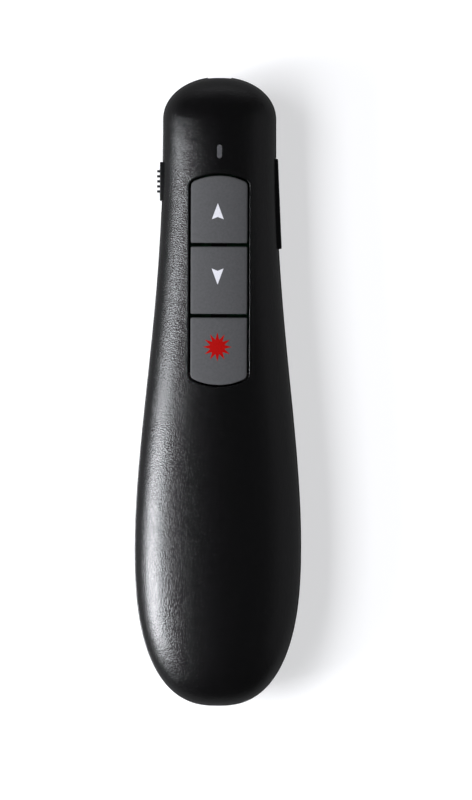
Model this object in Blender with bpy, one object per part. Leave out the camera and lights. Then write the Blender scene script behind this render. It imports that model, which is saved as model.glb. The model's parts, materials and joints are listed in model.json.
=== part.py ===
"""A hand-held wireless presenter with a laser pointer, as the separate pieces it is assembled from.

It lies on its back. X runs across it, +Y points to the laser end and +Z points up out of the keys.
The origin is in the table plane, below the middle of the case. Lengths are in metres.
"""

import math
from collections import namedtuple

import bmesh
import bpy
from mathutils import Matrix, Vector

MM = 0.001
DEGREE = math.pi / 180

# Clearances
SEAM = 0.3 * MM  # between the two halves of the case
SEAT_GAP = 0.05 * MM  # between pieces that rest on each other
LOOSE = 0.25 * MM  # round a piece that moves
SNUG = 0.15 * MM  # round a piece that is held still
OVERRUN = 1.0 * MM  # how far a cutter passes what it cuts

# Case
CASE_LENGTH = 136 * MM
WALL = 1.9 * MM
SHADOW_STEP = 0.2 * MM  # how far the lower half's outline stands outside the upper's
PARTING = 11.2 * MM  # height of the seam over the table
TONGUE_FACE = 1.1 * MM  # from the outline to the lower half's tongue
REBATE_FACE = 0.85 * MM  # from the outline to the upper half's rebate
REBATE_RISE = 1.2 * MM
REBATE_LEAST = 0.4 * MM
REBATE_SHARE = 1 / 6

# A profile is a size that changes along the case: one in the neck, one in the paddle, and rounded ends
END_FIELDS = "nose_reach nose_power tail_reach tail_power"
Profile = namedtuple("Profile", f"neck paddle {END_FIELDS} swell_from swell_to swell_power")
NOSE_REACH = 9.3 * MM
TAIL_REACH = 34.5 * MM
WIDTH = Profile(
    neck=12.25 * MM,
    paddle=18 * MM,
    nose_reach=NOSE_REACH,
    nose_power=2.05,
    tail_reach=TAIL_REACH,
    tail_power=2.5,
    swell_from=NOSE_REACH,
    swell_to=CASE_LENGTH - TAIL_REACH,
    swell_power=1.27,
)
CREST = Profile(
    neck=9.1 * MM,
    paddle=10 * MM,
    nose_reach=14 * MM,
    nose_power=2.2,
    tail_reach=40 * MM,
    tail_power=2.4,
    swell_from=NOSE_REACH,
    swell_to=CASE_LENGTH - TAIL_REACH,
    swell_power=1,
)
KEEL = Profile(
    neck=7.6 * MM,
    paddle=12 * MM,
    nose_reach=16 * MM,
    nose_power=2.2,
    tail_reach=28 * MM,
    tail_power=2.6,
    swell_from=NOSE_REACH,
    swell_to=62 * MM,
    swell_power=1,
)

# A half of the case: the way it bulges, the height of its edge, its profile and the powers of its section
Half = namedtuple("Half", "way level rise wide_power tall_power")
UPPER = Half(way=1, level=PARTING + SEAM / 2, rise=CREST, wide_power=2, tall_power=2.6)
LOWER = Half(way=-1, level=PARTING - SEAM / 2, rise=KEEL, wide_power=2.2, tall_power=3)
UPPER_INSIDE = SHADOW_STEP + WALL
NOSE_STEPS = 6
MIDDLE_STEPS = 10
TAIL_STEPS = 8
ACROSS_STEPS = 14

# Keys
KEYS_FROM_NOSE = 21.45 * MM
KEY_NAMES = ("page_up", "page_down", "laser")
KEY_HALF = 6.1 * MM
KEY_LENGTH = 14.55 * MM
KEY_SPACING = 0.77 * MM
KEY_SIDE_GAP = 0.42 * MM
KEY_ARCH = 12.8 * MM
KEY_CORNER = 1.3 * MM
KEY_INNER_CORNER = 0.35 * MM
KEY_WALL = 1.2 * MM
KEY_TOP = 1.2 * MM
KEY_SKIRT = 2.3 * MM
KEY_TRAVEL = 0.35 * MM
FLANGE_OVERLAP = 0.8 * MM
FLANGE_THICK = 0.7 * MM
FLANGE_GAP = 0.3 * MM
FLANGE_SHORT = 2.6 * MM  # from each end of the key
POST_RADIUS = 1.5 * MM
ARC_STEPS = 8
CORNER_STEPS = 3

# Board
BOARD_RISE = 1.8 * MM  # from the seam to its underside
BOARD_THICK = 1.2 * MM
BOARD_HALF = 7.2 * MM
BOARD_FROM_NOSE = 13 * MM
BOARD_BOTTOM = PARTING + BOARD_RISE
BOARD_TOP = BOARD_BOTTOM + BOARD_THICK
CHIP_SIDE = 6 * MM
CHIP_THICK = 0.9 * MM
CRYSTAL_SIZE = (2.5 * MM, 3.2 * MM, 0.8 * MM)
LED_SIZE = (0.8 * MM, 1.6 * MM, 0.7 * MM)

# Key switches
TACT_SIDE = 6 * MM
TACT_HEIGHT = 2 * MM
PLUNGER_RADIUS = 1.6 * MM
PLUNGER_STANDS = 1.2 * MM
PLUNGER_BORE_GAP = 0.2 * MM
PLUNGER_BORE_DEPTH = 1.3 * MM

# Status light
WINDOW_FROM_NOSE = 16.25 * MM
WINDOW_HALF = 0.64 * MM
WINDOW_LENGTH = 3.15 * MM
WINDOW_FLANGE = 0.9 * MM
WINDOW_FLANGE_THICK = 0.8 * MM

# Power slider, in the left side
SLIDER_FROM_NOSE = 22.67 * MM
SLIDER_LENGTH = 8.4 * MM
SLIDER_HEIGHT = 3.2 * MM
SLIDER_PROUD = 0.6 * MM
SLIDER_SEAT = 0.4 * MM  # depth of the seat that it runs in
SLIDER_TRAVEL = 2.2 * MM
RIB_COUNT = 5
RIB_PITCH = 1.09 * MM
RIB_THICK = 0.34 * MM
RIB_STANDS = 0.5 * MM
NECK_HALF_LENGTH = 1.6 * MM
NECK_RISE = 0.25 * MM  # from the seam to its lower edge
NECK_HEIGHT = 1.2 * MM
ACTUATOR_SIDE = 1.2 * MM
ACTUATOR_STANDS = 2.2 * MM
SWITCH_DEPTH = 3.4 * MM
SWITCH_LENGTH = 8.6 * MM
SWITCH_HEIGHT = 2.9 * MM
SWITCH_FROM_OUTLINE = 4.8 * MM
SWITCH_SLOT_DEPTH = 1.8 * MM
FORK_SLOT_DEPTH = 1.8 * MM

# Rocker, in the right side
ROCKER_FROM_NOSE = 27.45 * MM
ROCKER_LENGTH = 19.5 * MM
ROCKER_HEIGHT = 3.2 * MM
ROCKER_PROUD_FRONT = 0.38 * MM
ROCKER_PROUD_REAR = 0.58 * MM
ROCKER_CORNER = 0.35 * MM
PIN_RADIUS = 0.6 * MM
PIN_SEAT_DEPTH = 1.2 * MM
LUG_RADIUS = 1.5 * MM
ROCKER_BACK_FROM_WALL = 2.9 * MM
NUB_REACH = 7 * MM
NUB_HALF = 0.9 * MM
NUB_STANDS = 0.65 * MM
SIDE_TACT_SIZE = (3 * MM, 3.8 * MM, 2.4 * MM)
SIDE_PLUNGER_RADIUS = 0.7 * MM
SIDE_PLUNGER_STANDS = 1.5 * MM
SIDE_PLUNGER_DEPTH = 1.2 * MM

# Laser
LASER_DROP = 1.6 * MM  # its axis below the seam
BARREL_RADIUS = 3.1 * MM
BARREL_BORE = 2.2 * MM
BARREL_LENGTH = 15 * MM
BARREL_FROM_NOSE = 5 * MM
BARREL_LIP = 0.5 * MM
LENS_RADIUS = 2 * MM
LENS_EDGE = 0.9 * MM
LENS_BULGE = 0.5 * MM
LENS_FROM_FRONT = 1.6 * MM
DIODE_RADIUS = 1.9 * MM
DIODE_FLANGE = 0.8 * MM
DIODE_CAN_RADIUS = 1.45 * MM
DIODE_LENGTH = 4 * MM
DRIVER_LENGTH = 8 * MM
DRIVER_HALF = 2.6 * MM
DRIVER_THICK = 0.8 * MM
CRADLE_THICK = 1.4 * MM
CRADLE_HALF = 5 * MM
CRADLE_INSET = 2.2 * MM  # from each end of the barrel
APERTURE_RADIUS = 2.9 * MM
RING_FROM_NOSE = 2.6 * MM
RING_LENGTH = 2.1 * MM
RING_BORE = 1.6 * MM
RING_STEP = 0.4 * MM
APERTURE_WINDOW_THICK = 0.8 * MM

# Batteries and their bay
CELL_RADIUS = 5.2 * MM
CELL_LENGTH = 44.5 * MM
CELL_NUB_RADIUS = 1.9 * MM
CELL_NUB_LENGTH = 0.8 * MM
CELL_SHOULDER = 0.4 * MM
CELL_SPACING = 0.5 * MM
CELL_OVER_WALL = 0.4 * MM
BAY_FROM_NOSE = 65.5 * MM
BAY_WALL = 1 * MM
BAY_ROOF = 0.8 * MM
BAY_SIDE_GAP = 0.3 * MM
SPRING_ROOM = 4 * MM
PLATE_THICK = 0.3 * MM
PLATE_GAP = 0.1 * MM
PLATE_HALF = 3.4 * MM
PLATE_LOW = 3.4 * MM  # from a cell's axis down to a plate's lower edge
TAB_HALF = 1.2 * MM
TAB_REACH = 3.4 * MM
SPRING_WIRE = 0.25 * MM
SPRING_WIDE = 3 * MM
SPRING_NARROW = 2 * MM
SPRING_TURNS = 3
SPRING_POINTS_PER_TURN = 10

# Battery door
DOOR_THICK = 1.5 * MM
DOOR_GAP = 0.25 * MM
DOOR_COLUMNS = 10
DOOR_ROWS = 4
LEDGE_WIDTH = 0.75 * MM
LEDGE_LOW = WALL + 0.85 * MM
LEDGE_HIGH = LEDGE_LOW + 0.85 * MM
CATCH_HALF = 1.4 * MM
CATCH_THICK = 0.9 * MM
TAB_LOW = WALL + SEAM
TAB_HIGH = TAB_LOW + CATCH_THICK
TAB_PAST_EDGE = 2.2 * MM
TAB_ROOT = 1.3 * MM
TAB_ROOM = 1 * MM
LATCH_PAST_EDGE = 0.7 * MM
LATCH_HIGH = LEDGE_HIGH + 0.1 * MM
LATCH_GAP = 0.3 * MM

# USB receiver, in the tail
HEAD_HALF = 7 * MM
HEAD_LENGTH = 6.1 * MM
HEAD_HIGH = PARTING - 1.25 * MM
HEAD_LOW = HEAD_HIGH - 4.95 * MM
PLUG_HALF = 6 * MM
PLUG_HEIGHT = 4.5 * MM
PLUG_LENGTH = 11.5 * MM
PLUG_SHEET = 0.35 * MM
TONGUE_HALF = 5.4 * MM
TONGUE_THICK = 1.8 * MM
TONGUE_SHORT = 0.6 * MM
SLEEVE_WALL = 0.9 * MM

# Screws
SCREW_SEAT = 3 * MM  # from the seam down to where a case screw's head bears
SCREW_HEAD_RADIUS = 1.7 * MM
SCREW_HEAD_HEIGHT = 1.2 * MM
SCREW_RADIUS = 0.9 * MM
SCREW_REACH = 3.6 * MM  # from the seam up to its point
SCREW_TIP = 0.8 * MM
DRIVE_RADIUS = 0.8 * MM
DRIVE_DEPTH = 0.5 * MM
BOSS_RADIUS = 1.95 * MM
WELL_WALL = 0.8 * MM
BOSS_TOP_SPARE = 0.8 * MM
FRONT_SCREWS_FROM_NOSE = 10 * MM
FRONT_SCREWS_HALF = 7.3 * MM
REAR_SCREWS_FROM_NOSE = 92 * MM
BOARD_SCREW_HEAD_HEIGHT = 0.8 * MM
BOARD_SCREW_LENGTH = 5 * MM
BOARD_POST_RADIUS = 2 * MM

SIDES = 24
FINE_SIDES = 16

HIDDEN_LOOK = "helper"
LOOKS = {
    "case_black": ((0.010, 0.010, 0.011), 0.42, 0),
    "key_grey": ((0.105, 0.105, 0.112), 0.5, 0),
    "control_black": ((0.006, 0.006, 0.006), 0.55, 0),
    "smoked_clear": ((0.07, 0.07, 0.075), 0.2, 0),
    "inner_plastic": ((0.03, 0.03, 0.03), 0.5, 0),
    "circuit_board": ((0.01, 0.09, 0.03), 0.45, 0),
    "chip_black": ((0.012, 0.012, 0.012), 0.6, 0),
    "plated_steel": ((0.55, 0.55, 0.54), 0.3, 1),
    "brass": ((0.60, 0.42, 0.16), 0.3, 1),
    "lens_glass": ((0.75, 0.80, 0.85), 0.05, 0),
    "cell_jacket": ((0.16, 0.17, 0.18), 0.35, 0),
    "white_plastic": ((0.7, 0.7, 0.68), 0.45, 0),
}


def from_nose(distance):
    """The Y of a place that is a distance behind the nose."""
    return CASE_LENGTH / 2 - distance


def end_share(gap, reach, power):
    """How full a section is at a gap from an end that rounds off over a reach: 0 at the tip, 1 past it."""
    left = min(max(1 - gap / reach, 0), 1)
    return (1 - left**power) ** (1 / power)


def swell_share(gap, start, end, power):
    """A smooth rise from 0 to 1 between two distances from the nose."""
    share = min(max((gap - start) / (end - start), 0), 1) ** power
    return share * share * (3 - 2 * share)


def size_at(profile, y, inset):
    """A profile's size at y, for a surface that lies an inset inside the outer one."""
    nose_gap = CASE_LENGTH / 2 - y
    tail_gap = CASE_LENGTH / 2 + y
    swell = swell_share(nose_gap, profile.swell_from, profile.swell_to, profile.swell_power)
    full = profile.neck + (profile.paddle - profile.neck) * swell - inset
    nose = end_share(nose_gap - inset, profile.nose_reach - inset, profile.nose_power)
    tail = end_share(tail_gap - inset, profile.tail_reach - inset, profile.tail_power)
    return full * nose * tail


def half_width(y, inset=0):
    return size_at(WIDTH, y, inset)


def skin_height(half, x, y, inset):
    """Height of a half's surface over the point (x, y), with the belly cut flat."""
    wide = min(abs(x) / half_width(y, inset), 1)
    rise = size_at(half.rise, y, inset) * (1 - wide**half.wide_power) ** (1 / half.tall_power)
    return max(half.level + half.way * rise, inset)


def facet_height(half, x, y, inset):
    """Height of a half's surface as it is meshed, in straight steps across, which lie inside the curve."""
    angles = [math.pi / 2 * i / (ACROSS_STEPS // 2) for i in range(ACROSS_STEPS // 2 + 1)]
    places = [half_width(y, inset) * math.sin(a) ** (2 / half.wide_power) for a in angles]
    after = next((i for i, place in enumerate(places) if place > abs(x)), len(places) - 1)
    low, high = (skin_height(half, places[i], y, inset) for i in (after - 1, after))
    share = (abs(x) - places[after - 1]) / (places[after] - places[after - 1])
    return low + (high - low) * share


# Mesh helpers


def clear_scene():
    for thing in list(bpy.data.objects):
        bpy.data.objects.remove(thing, do_unlink=True)


def make_looks():
    """One material for each kind of surface."""
    for name, (colour, roughness, metallic) in LOOKS.items():
        material = bpy.data.materials.new(name)
        material.use_nodes = True
        shader = material.node_tree.nodes["Principled BSDF"]
        shader.inputs["Base Color"].default_value = (*colour, 1)
        shader.inputs["Roughness"].default_value = roughness
        shader.inputs["Metallic"].default_value = metallic
        material.diffuse_color = (*colour, 1)


def add_object(name, mesh, look, origin=(0, 0, 0)):
    """An object for a closed bmesh that is drawn in place, with its origin moved to a point."""
    bmesh.ops.recalc_face_normals(mesh, faces=mesh.faces)
    data = bpy.data.meshes.new(name)
    mesh.to_mesh(data)
    mesh.free()
    data.shade_smooth()
    data.set_sharp_from_angle(angle=30 * DEGREE)
    data.transform(Matrix.Translation(-Vector(origin)))
    thing = bpy.data.objects.new(name, data)
    thing.location = origin
    bpy.context.collection.objects.link(thing)
    if look == HIDDEN_LOOK:
        thing.hide_render = True
        thing.display_type = "WIRE"
    else:
        data.materials.append(bpy.data.materials[look])
    return thing


def face(mesh, *corners):
    """A face on the corners given, leaving out a corner that repeats."""
    distinct = list(dict.fromkeys(corners))
    if len(distinct) > 2:
        mesh.faces.new(distinct)


def bridge(mesh, first, second):
    """Faces between two closed loops of as many points."""
    for i in range(len(first)):
        face(mesh, first[i - 1], first[i], second[i], second[i - 1])


def box(name, x, y, z, look=HIDDEN_LOOK):
    """A block between the low and high value on each axis, with its origin at its middle."""
    mesh = bmesh.new()
    bmesh.ops.create_cube(mesh, size=1)
    size = Vector((x[1] - x[0], y[1] - y[0], z[1] - z[0]))
    middle = Vector((sum(x) / 2, sum(y) / 2, sum(z) / 2))
    bmesh.ops.scale(mesh, vec=size, verts=mesh.verts)
    bmesh.ops.translate(mesh, vec=middle, verts=mesh.verts)
    return add_object(name, mesh, look, middle)


def both_ways(half):
    return (-half, half)


def about(middle, half):
    return (middle - half, middle + half)


def prism(name, outline, z, look=HIDDEN_LOOK):
    """An outline of (x, y) points drawn up from one height to another."""
    mesh = bmesh.new()
    low = [mesh.verts.new((px, py, z[0])) for px, py in outline]
    high = [mesh.verts.new((px, py, z[1])) for px, py in outline]
    bridge(mesh, low, high)
    mesh.faces.new(low)
    mesh.faces.new(high)
    middle = Vector((sum(p[0] for p in outline), sum(p[1] for p in outline), 0)) / len(outline)
    middle.z = sum(z) / 2
    return add_object(name, mesh, look, middle)


def side_prism(name, outline, x, look=HIDDEN_LOOK):
    """An outline of (y, z) points drawn across from one X to another."""
    mesh = bmesh.new()
    left = [mesh.verts.new((x[0], y, z)) for y, z in outline]
    right = [mesh.verts.new((x[1], y, z)) for y, z in outline]
    bridge(mesh, left, right)
    mesh.faces.new(left)
    mesh.faces.new(right)
    return add_object(name, mesh, look)


def lathe(name, profile, base, direction, look=HIDDEN_LOOK, sides=SIDES):
    """A profile of (radius, distance) points turned about an axis from a base point.

    It is closed by poles where it starts and ends on the axis, and is a ring otherwise.
    """
    mesh = bmesh.new()
    turn = Vector((0, 0, 1)).rotation_difference(Vector(direction)).to_matrix()
    rings = []
    for radius, along in profile:
        if radius == 0:
            pole = mesh.verts.new(Vector(base) + turn @ Vector((0, 0, along)))
            rings.append([pole] * sides)
            continue
        angles = [2 * math.pi * k / sides for k in range(sides)]
        spots = [Vector((radius * math.cos(a), radius * math.sin(a), along)) for a in angles]
        rings.append([mesh.verts.new(Vector(base) + turn @ spot) for spot in spots])
    for first, second in zip(rings, rings[1:]):
        bridge(mesh, first, second)
    if profile[0][0] != 0:
        bridge(mesh, rings[-1], rings[0])
    return add_object(name, mesh, look, base)


def rod(name, radius, base, direction, length, look=HIDDEN_LOOK, sides=SIDES):
    profile = [(0, 0), (radius, 0), (radius, length), (0, length)]
    return lathe(name, profile, base, direction, look, sides)


# The exact solver leaves open edges after the many cuts in these two
CASE_HALVES = ("upper_shell", "lower_shell")
UP = (0, 0, 1)
FORWARD = (0, 1, 0)
RIGHT = (1, 0, 0)


def combine(target, tool, operation):
    """A Boolean of one object with another, which becomes a helper."""
    modifier = target.modifiers.new(f"{operation.lower()} {tool.name}", "BOOLEAN")
    modifier.operation = operation
    modifier.solver = "MANIFOLD" if target.name in CASE_HALVES else "EXACT"
    modifier.object = tool
    return target


def join(target, *tools):
    for tool in tools:
        combine(target, tool, "UNION")
    return target


def cut(target, *tools):
    for tool in tools:
        combine(target, tool, "DIFFERENCE")
    return target


def keep_inside(target, tool):
    return combine(target, tool, "INTERSECT")


def moving_group(name, origin):
    """An empty on a joint's axis, for the pieces that move together."""
    empty = bpy.data.objects.new(name, None)
    empty.location = origin
    empty.empty_display_size = BOSS_RADIUS
    bpy.context.collection.objects.link(empty)
    return empty


def hang(empty, *pieces):
    """Parents pieces to an empty and leaves them in place."""
    for piece in pieces:
        piece.parent = empty
        piece.location -= empty.location


# Case surfaces


def stations(inset):
    """Places along the case for a surface at an inset, closer together where its ends round off."""
    nose = CASE_LENGTH / 2 - inset
    places = []
    for i in range(NOSE_STEPS):
        angle = math.pi / 2 * i / NOSE_STEPS
        places.append(nose - (NOSE_REACH - inset) * (1 - math.cos(angle)))
    start = from_nose(NOSE_REACH)
    end = TAIL_REACH - CASE_LENGTH / 2
    places += [start + (end - start) * i / MIDDLE_STEPS for i in range(MIDDLE_STEPS)]
    for i in range(TAIL_STEPS + 1):
        angle = math.pi / 2 * i / TAIL_STEPS
        places.append(end - (TAIL_REACH - inset) * math.sin(angle))
    return places


def section_point(half, y, inset, k, edge_level):
    """Point k of a half's section at y, counted from its left edge to its right."""
    if k in (0, ACROSS_STEPS):
        return (math.copysign(half_width(y, inset), k - 1), y, edge_level(y))
    angle = math.pi * (k / ACROSS_STEPS - 1 / 2)
    x = half_width(y, inset) * math.copysign(abs(math.sin(angle)) ** (2 / half.wide_power), angle)
    rise = size_at(half.rise, y, inset) * math.cos(angle) ** (2 / half.tall_power)
    return (x, y, max(half.level + half.way * rise, inset))


def skin(mesh, half, inset, edge_level):
    """Rows of points over a half's surface, from a pole at the nose to one at the tail, with faces."""
    rows = []
    places = stations(inset)
    for y in places:
        if y in (places[0], places[-1]):
            rows.append([mesh.verts.new((0, y, edge_level(y)))] * (ACROSS_STEPS + 1))
            continue
        points = [section_point(half, y, inset, k, edge_level) for k in range(ACROSS_STEPS + 1)]
        rows.append([mesh.verts.new(point) for point in points])
    for first, second in zip(rows, rows[1:]):
        for k in range(ACROSS_STEPS):
            face(mesh, first[k], first[k + 1], second[k + 1], second[k])
    return rows


def edge(rows):
    """A skin's edge as a loop: back along the right side and forward along the left."""
    return [row[-1] for row in rows] + [row[0] for row in reversed(rows[1:-1])]


def outline_loop(mesh, inset, level):
    """The case's outline at an inset, in the order of a skin's edge."""
    places = stations(inset)
    right = [mesh.verts.new((half_width(y, inset), y, level(y))) for y in places]
    left = [mesh.verts.new((-half_width(y, inset), y, level(y))) for y in reversed(places[1:-1])]
    return right + left


def shell(name, half, steps):
    """Half of the case, from steps of (inset, level): its outer skin, its rim and its inner skin."""
    mesh = bmesh.new()
    outer = skin(mesh, half, *steps[0])
    inner = skin(mesh, half, *steps[-1])
    rim = [outline_loop(mesh, *step) for step in steps[1:-1]]
    loops = [edge(outer), *rim, edge(inner)]
    for first, second in zip(loops, loops[1:]):
        bridge(mesh, first, second)
    return add_object(name, mesh, "case_black")


def half_form(name, half, inset):
    """The space inside a half's surface at an inset, closed at its edge: a tool that trims other shapes."""
    mesh = bmesh.new()
    rows = skin(mesh, half, inset, lambda y: half.level)
    mesh.faces.new(edge(rows))
    return add_object(name, mesh, HIDDEN_LOOK)


def rebate_top(y):
    """Height of the step inside the upper half's rim, which fades towards the ends."""
    fading = REBATE_SHARE * size_at(UPPER.rise, y, UPPER_INSIDE)
    return UPPER.level + max(REBATE_LEAST, min(REBATE_RISE, fading))


def tongue_top(y):
    return rebate_top(y) - LOOSE


def upper_rim(y):
    return UPPER.level


def lower_rim(y):
    return LOWER.level


# Places that several pieces share

KEY_PITCH = KEY_LENGTH + KEY_SPACING
KEY_FRONTS = [from_nose(KEYS_FROM_NOSE + i * KEY_PITCH) for i in range(len(KEY_NAMES))]
KEY_MIDDLES = [front - KEY_LENGTH / 2 for front in KEY_FRONTS]
LASER_LEVEL = PARTING - LASER_DROP
BARREL_FRONT = from_nose(BARREL_FROM_NOSE)
BARREL_BACK = BARREL_FRONT - BARREL_LENGTH
CELL_X = CELL_RADIUS + CELL_SPACING / 2
CELL_LEVEL = WALL + CELL_OVER_WALL + CELL_RADIUS
BAY_FRONT = from_nose(BAY_FROM_NOSE)
BAY_LENGTH = CELL_LENGTH + SPRING_ROOM + 2 * (PLATE_THICK + PLATE_GAP)
BAY_BACK = BAY_FRONT - BAY_LENGTH
BAY_HALF = CELL_X + CELL_RADIUS + BAY_SIDE_GAP
BAY_TOP = CELL_LEVEL + CELL_RADIUS + SEAM
ROOF_TOP = BAY_TOP + BAY_ROOF
BOARD_FRONT = from_nose(BOARD_FROM_NOSE)
BOARD_BACK = BAY_FRONT + BAY_WALL + SEAM
BOARD_SCREWS = [(KEY_MIDDLES[i] + KEY_MIDDLES[i + 1]) / 2 for i in range(len(KEY_NAMES) - 1)]
HEAD_FRONT = HEAD_LENGTH - CASE_LENGTH / 2
PLUG_FRONT = HEAD_FRONT + SEAT_GAP + PLUG_LENGTH
PLUG_LEVEL = (HEAD_LOW + HEAD_HIGH) / 2
FRONT_SCREWS_Y = from_nose(FRONT_SCREWS_FROM_NOSE)
REAR_SCREWS_Y = from_nose(REAR_SCREWS_FROM_NOSE)
REAR_SCREWS_HALF = BAY_HALF + BAY_WALL + SCREW_HEAD_RADIUS + SNUG - SEAT_GAP
SCREW_PLACES = {
    "front_left": (-FRONT_SCREWS_HALF, FRONT_SCREWS_Y),
    "front_right": (FRONT_SCREWS_HALF, FRONT_SCREWS_Y),
    "rear_left": (-REAR_SCREWS_HALF, REAR_SCREWS_Y),
    "rear_right": (REAR_SCREWS_HALF, REAR_SCREWS_Y),
}
SCREW_SEAT_LEVEL = PARTING - SCREW_SEAT
SLIDER_Y = from_nose(SLIDER_FROM_NOSE)
SLIDER_WALL = half_width(SLIDER_Y)
SLIDER_Z = about(PARTING, SLIDER_HEIGHT / 2)
NECK_Z = (PARTING + NECK_RISE, PARTING + NECK_RISE + NECK_HEIGHT)
ROCKER_Y = from_nose(ROCKER_FROM_NOSE)
ROCKER_Z = about(PARTING, ROCKER_HEIGHT / 2)
PIN_POST_TOP = ROCKER_Z[0] - SEAM
PIVOT_X = KEY_HALF + KEY_SIDE_GAP + FLANGE_OVERLAP + SEAM + LUG_RADIUS
ROCKER_BACK_X = half_width(ROCKER_Y) - ROCKER_BACK_FROM_WALL
NUB_TIP_X = ROCKER_BACK_X - NUB_STANDS
SIDE_SWITCH_LEVEL = BOARD_BOTTOM - SEAT_GAP - SIDE_TACT_SIZE[2] / 2
SLIDE_SWITCH_LEVEL = BOARD_BOTTOM - SEAT_GAP - SWITCH_HEIGHT / 2
SLIDE_SWITCH_X = SWITCH_FROM_OUTLINE - SLIDER_WALL


# Outlines


def arc_points(centre, radius, start, end, steps):
    """Points on an arc, its ends included. Angles are from +Y towards +X."""
    angles = [start + (end - start) * i / steps for i in range(steps + 1)]
    return [(centre[0] + radius * math.sin(a), centre[1] + radius * math.cos(a)) for a in angles]


def arched_end(tip_y, half, arch, corner, way):
    """One end of a key, arched, with round corners, from left to right. Way is 1 at the front."""
    corner_x = half - corner
    arch_middle = tip_y - way * arch
    corner_y = arch_middle + way * math.sqrt((arch - corner) ** 2 - corner_x**2)
    turn = math.asin(corner_x / (arch - corner))
    left = arc_points((-corner_x, 0), corner, -math.pi / 2, -turn, CORNER_STEPS)
    top = arc_points((0, 0), arch, -turn, turn, ARC_STEPS)[1:-1]
    right = arc_points((corner_x, 0), corner, turn, math.pi / 2, CORNER_STEPS)
    points = [(x, corner_y + way * y) for x, y in left]
    points += [(x, arch_middle + way * y) for x, y in top]
    points += [(x, corner_y + way * y) for x, y in right]
    return points


def square_end(tip_y, half, corner, way):
    """One end of a key, straight, with small round corners, from its left side to its right."""
    left = arc_points((corner - half, 0), corner, -math.pi / 2, 0, CORNER_STEPS)
    right = arc_points((half - corner, 0), corner, 0, math.pi / 2, CORNER_STEPS)
    return [(x, tip_y + way * (y - corner)) for x, y in left + right]


def key_outline(first, last, grow):
    """Outline from the front of one key to the back of another, grown on all sides."""
    half = KEY_HALF + grow
    front_y = KEY_FRONTS[first] + grow
    back_y = KEY_FRONTS[last] - KEY_LENGTH - grow
    corner = max(KEY_CORNER + grow, KEY_INNER_CORNER)
    inner_corner = max(KEY_INNER_CORNER + min(grow, 0), KEY_INNER_CORNER)
    if first == 0:
        front = arched_end(front_y, half, KEY_ARCH + grow, corner, 1)
    else:
        front = square_end(front_y, half, inner_corner, 1)
    if last == len(KEY_NAMES) - 1:
        back = arched_end(back_y, half, KEY_ARCH + grow, corner, -1)
    else:
        back = square_end(back_y, half, inner_corner, -1)
    return front + back[::-1]


def window_outline(grow):
    """The status light's slot, with round ends."""
    radius = WINDOW_HALF + grow
    reach = WINDOW_LENGTH / 2 - WINDOW_HALF
    middle = from_nose(WINDOW_FROM_NOSE)
    front = arc_points((0, middle + reach), radius, -math.pi / 2, math.pi / 2, ARC_STEPS)
    back = arc_points((0, middle - reach), radius, math.pi / 2, 3 * math.pi / 2, ARC_STEPS)
    return front + back


# Case halves


def make_upper_shell(core):
    steps = [
        (SHADOW_STEP, upper_rim),
        (REBATE_FACE, upper_rim),
        (REBATE_FACE, rebate_top),
        (UPPER_INSIDE, rebate_top),
    ]
    case = shell("upper_shell", UPPER, steps)
    above = PARTING + CREST.paddle + OVERRUN
    for name, (x, y) in SCREW_PLACES.items():
        boss = rod(f"upper boss {name}", BOSS_RADIUS, (x, y, UPPER.level), UP, CREST.paddle)
        join(case, keep_inside(boss, core))
    pin_seat_z = ROCKER_Z[1] + SEAM
    pin_base = (PIVOT_X, ROCKER_Y, pin_seat_z)
    pin_boss = rod("upper pin boss", LUG_RADIUS, pin_base, UP, CREST.neck, sides=FINE_SIDES)
    join(case, keep_inside(pin_boss, core))
    bay_x = both_ways(BAY_HALF + BAY_WALL + SEAM)
    bay_y = (BAY_BACK - BAY_WALL - SEAM, BAY_FRONT + BAY_WALL + SEAM)
    cut(case, box("room for the bay", bay_x, bay_y, (PARTING, ROOF_TOP + SEAM)), tongue_room())
    for name, (x, y) in SCREW_PLACES.items():
        depth = SCREW_REACH + BOSS_TOP_SPARE - SEAM
        bore_radius = SCREW_RADIUS + SNUG
        cut(case, rod(f"upper bore {name}", bore_radius, (x, y, PARTING), UP, depth, sides=FINE_SIDES))
    bore_base = (PIVOT_X, ROCKER_Y, ROCKER_Z[1])
    bore_depth = PIN_SEAT_DEPTH + SNUG
    cut(case, rod("upper pin bore", PIN_RADIUS + SNUG, bore_base, UP, bore_depth, sides=FINE_SIDES))
    cut(case, prism("key opening", key_outline(0, len(KEY_NAMES) - 1, KEY_SIDE_GAP), (PARTING, above)))
    cut(case, prism("window opening", window_outline(SNUG), (PARTING, above)))
    cut(case, *side_openings("upper"), aperture_cut("upper"))
    return case


def room_low(y):
    return PARTING


def room_top(y):
    return rebate_top(y) - SEAT_GAP


def tongue_room():
    """A cutter for the bosses where the lower half's tongue passes them."""
    mesh = bmesh.new()
    outer, inner = REBATE_FACE + SEAT_GAP, UPPER_INSIDE + SEAM
    steps = [(outer, room_low), (outer, room_top), (inner, room_top), (inner, room_low)]
    loops = [outline_loop(mesh, *step) for step in steps]
    for first, second in zip(loops, loops[1:] + loops[:1]):
        bridge(mesh, first, second)
    return add_object("tongue room", mesh, HIDDEN_LOOK)


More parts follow.
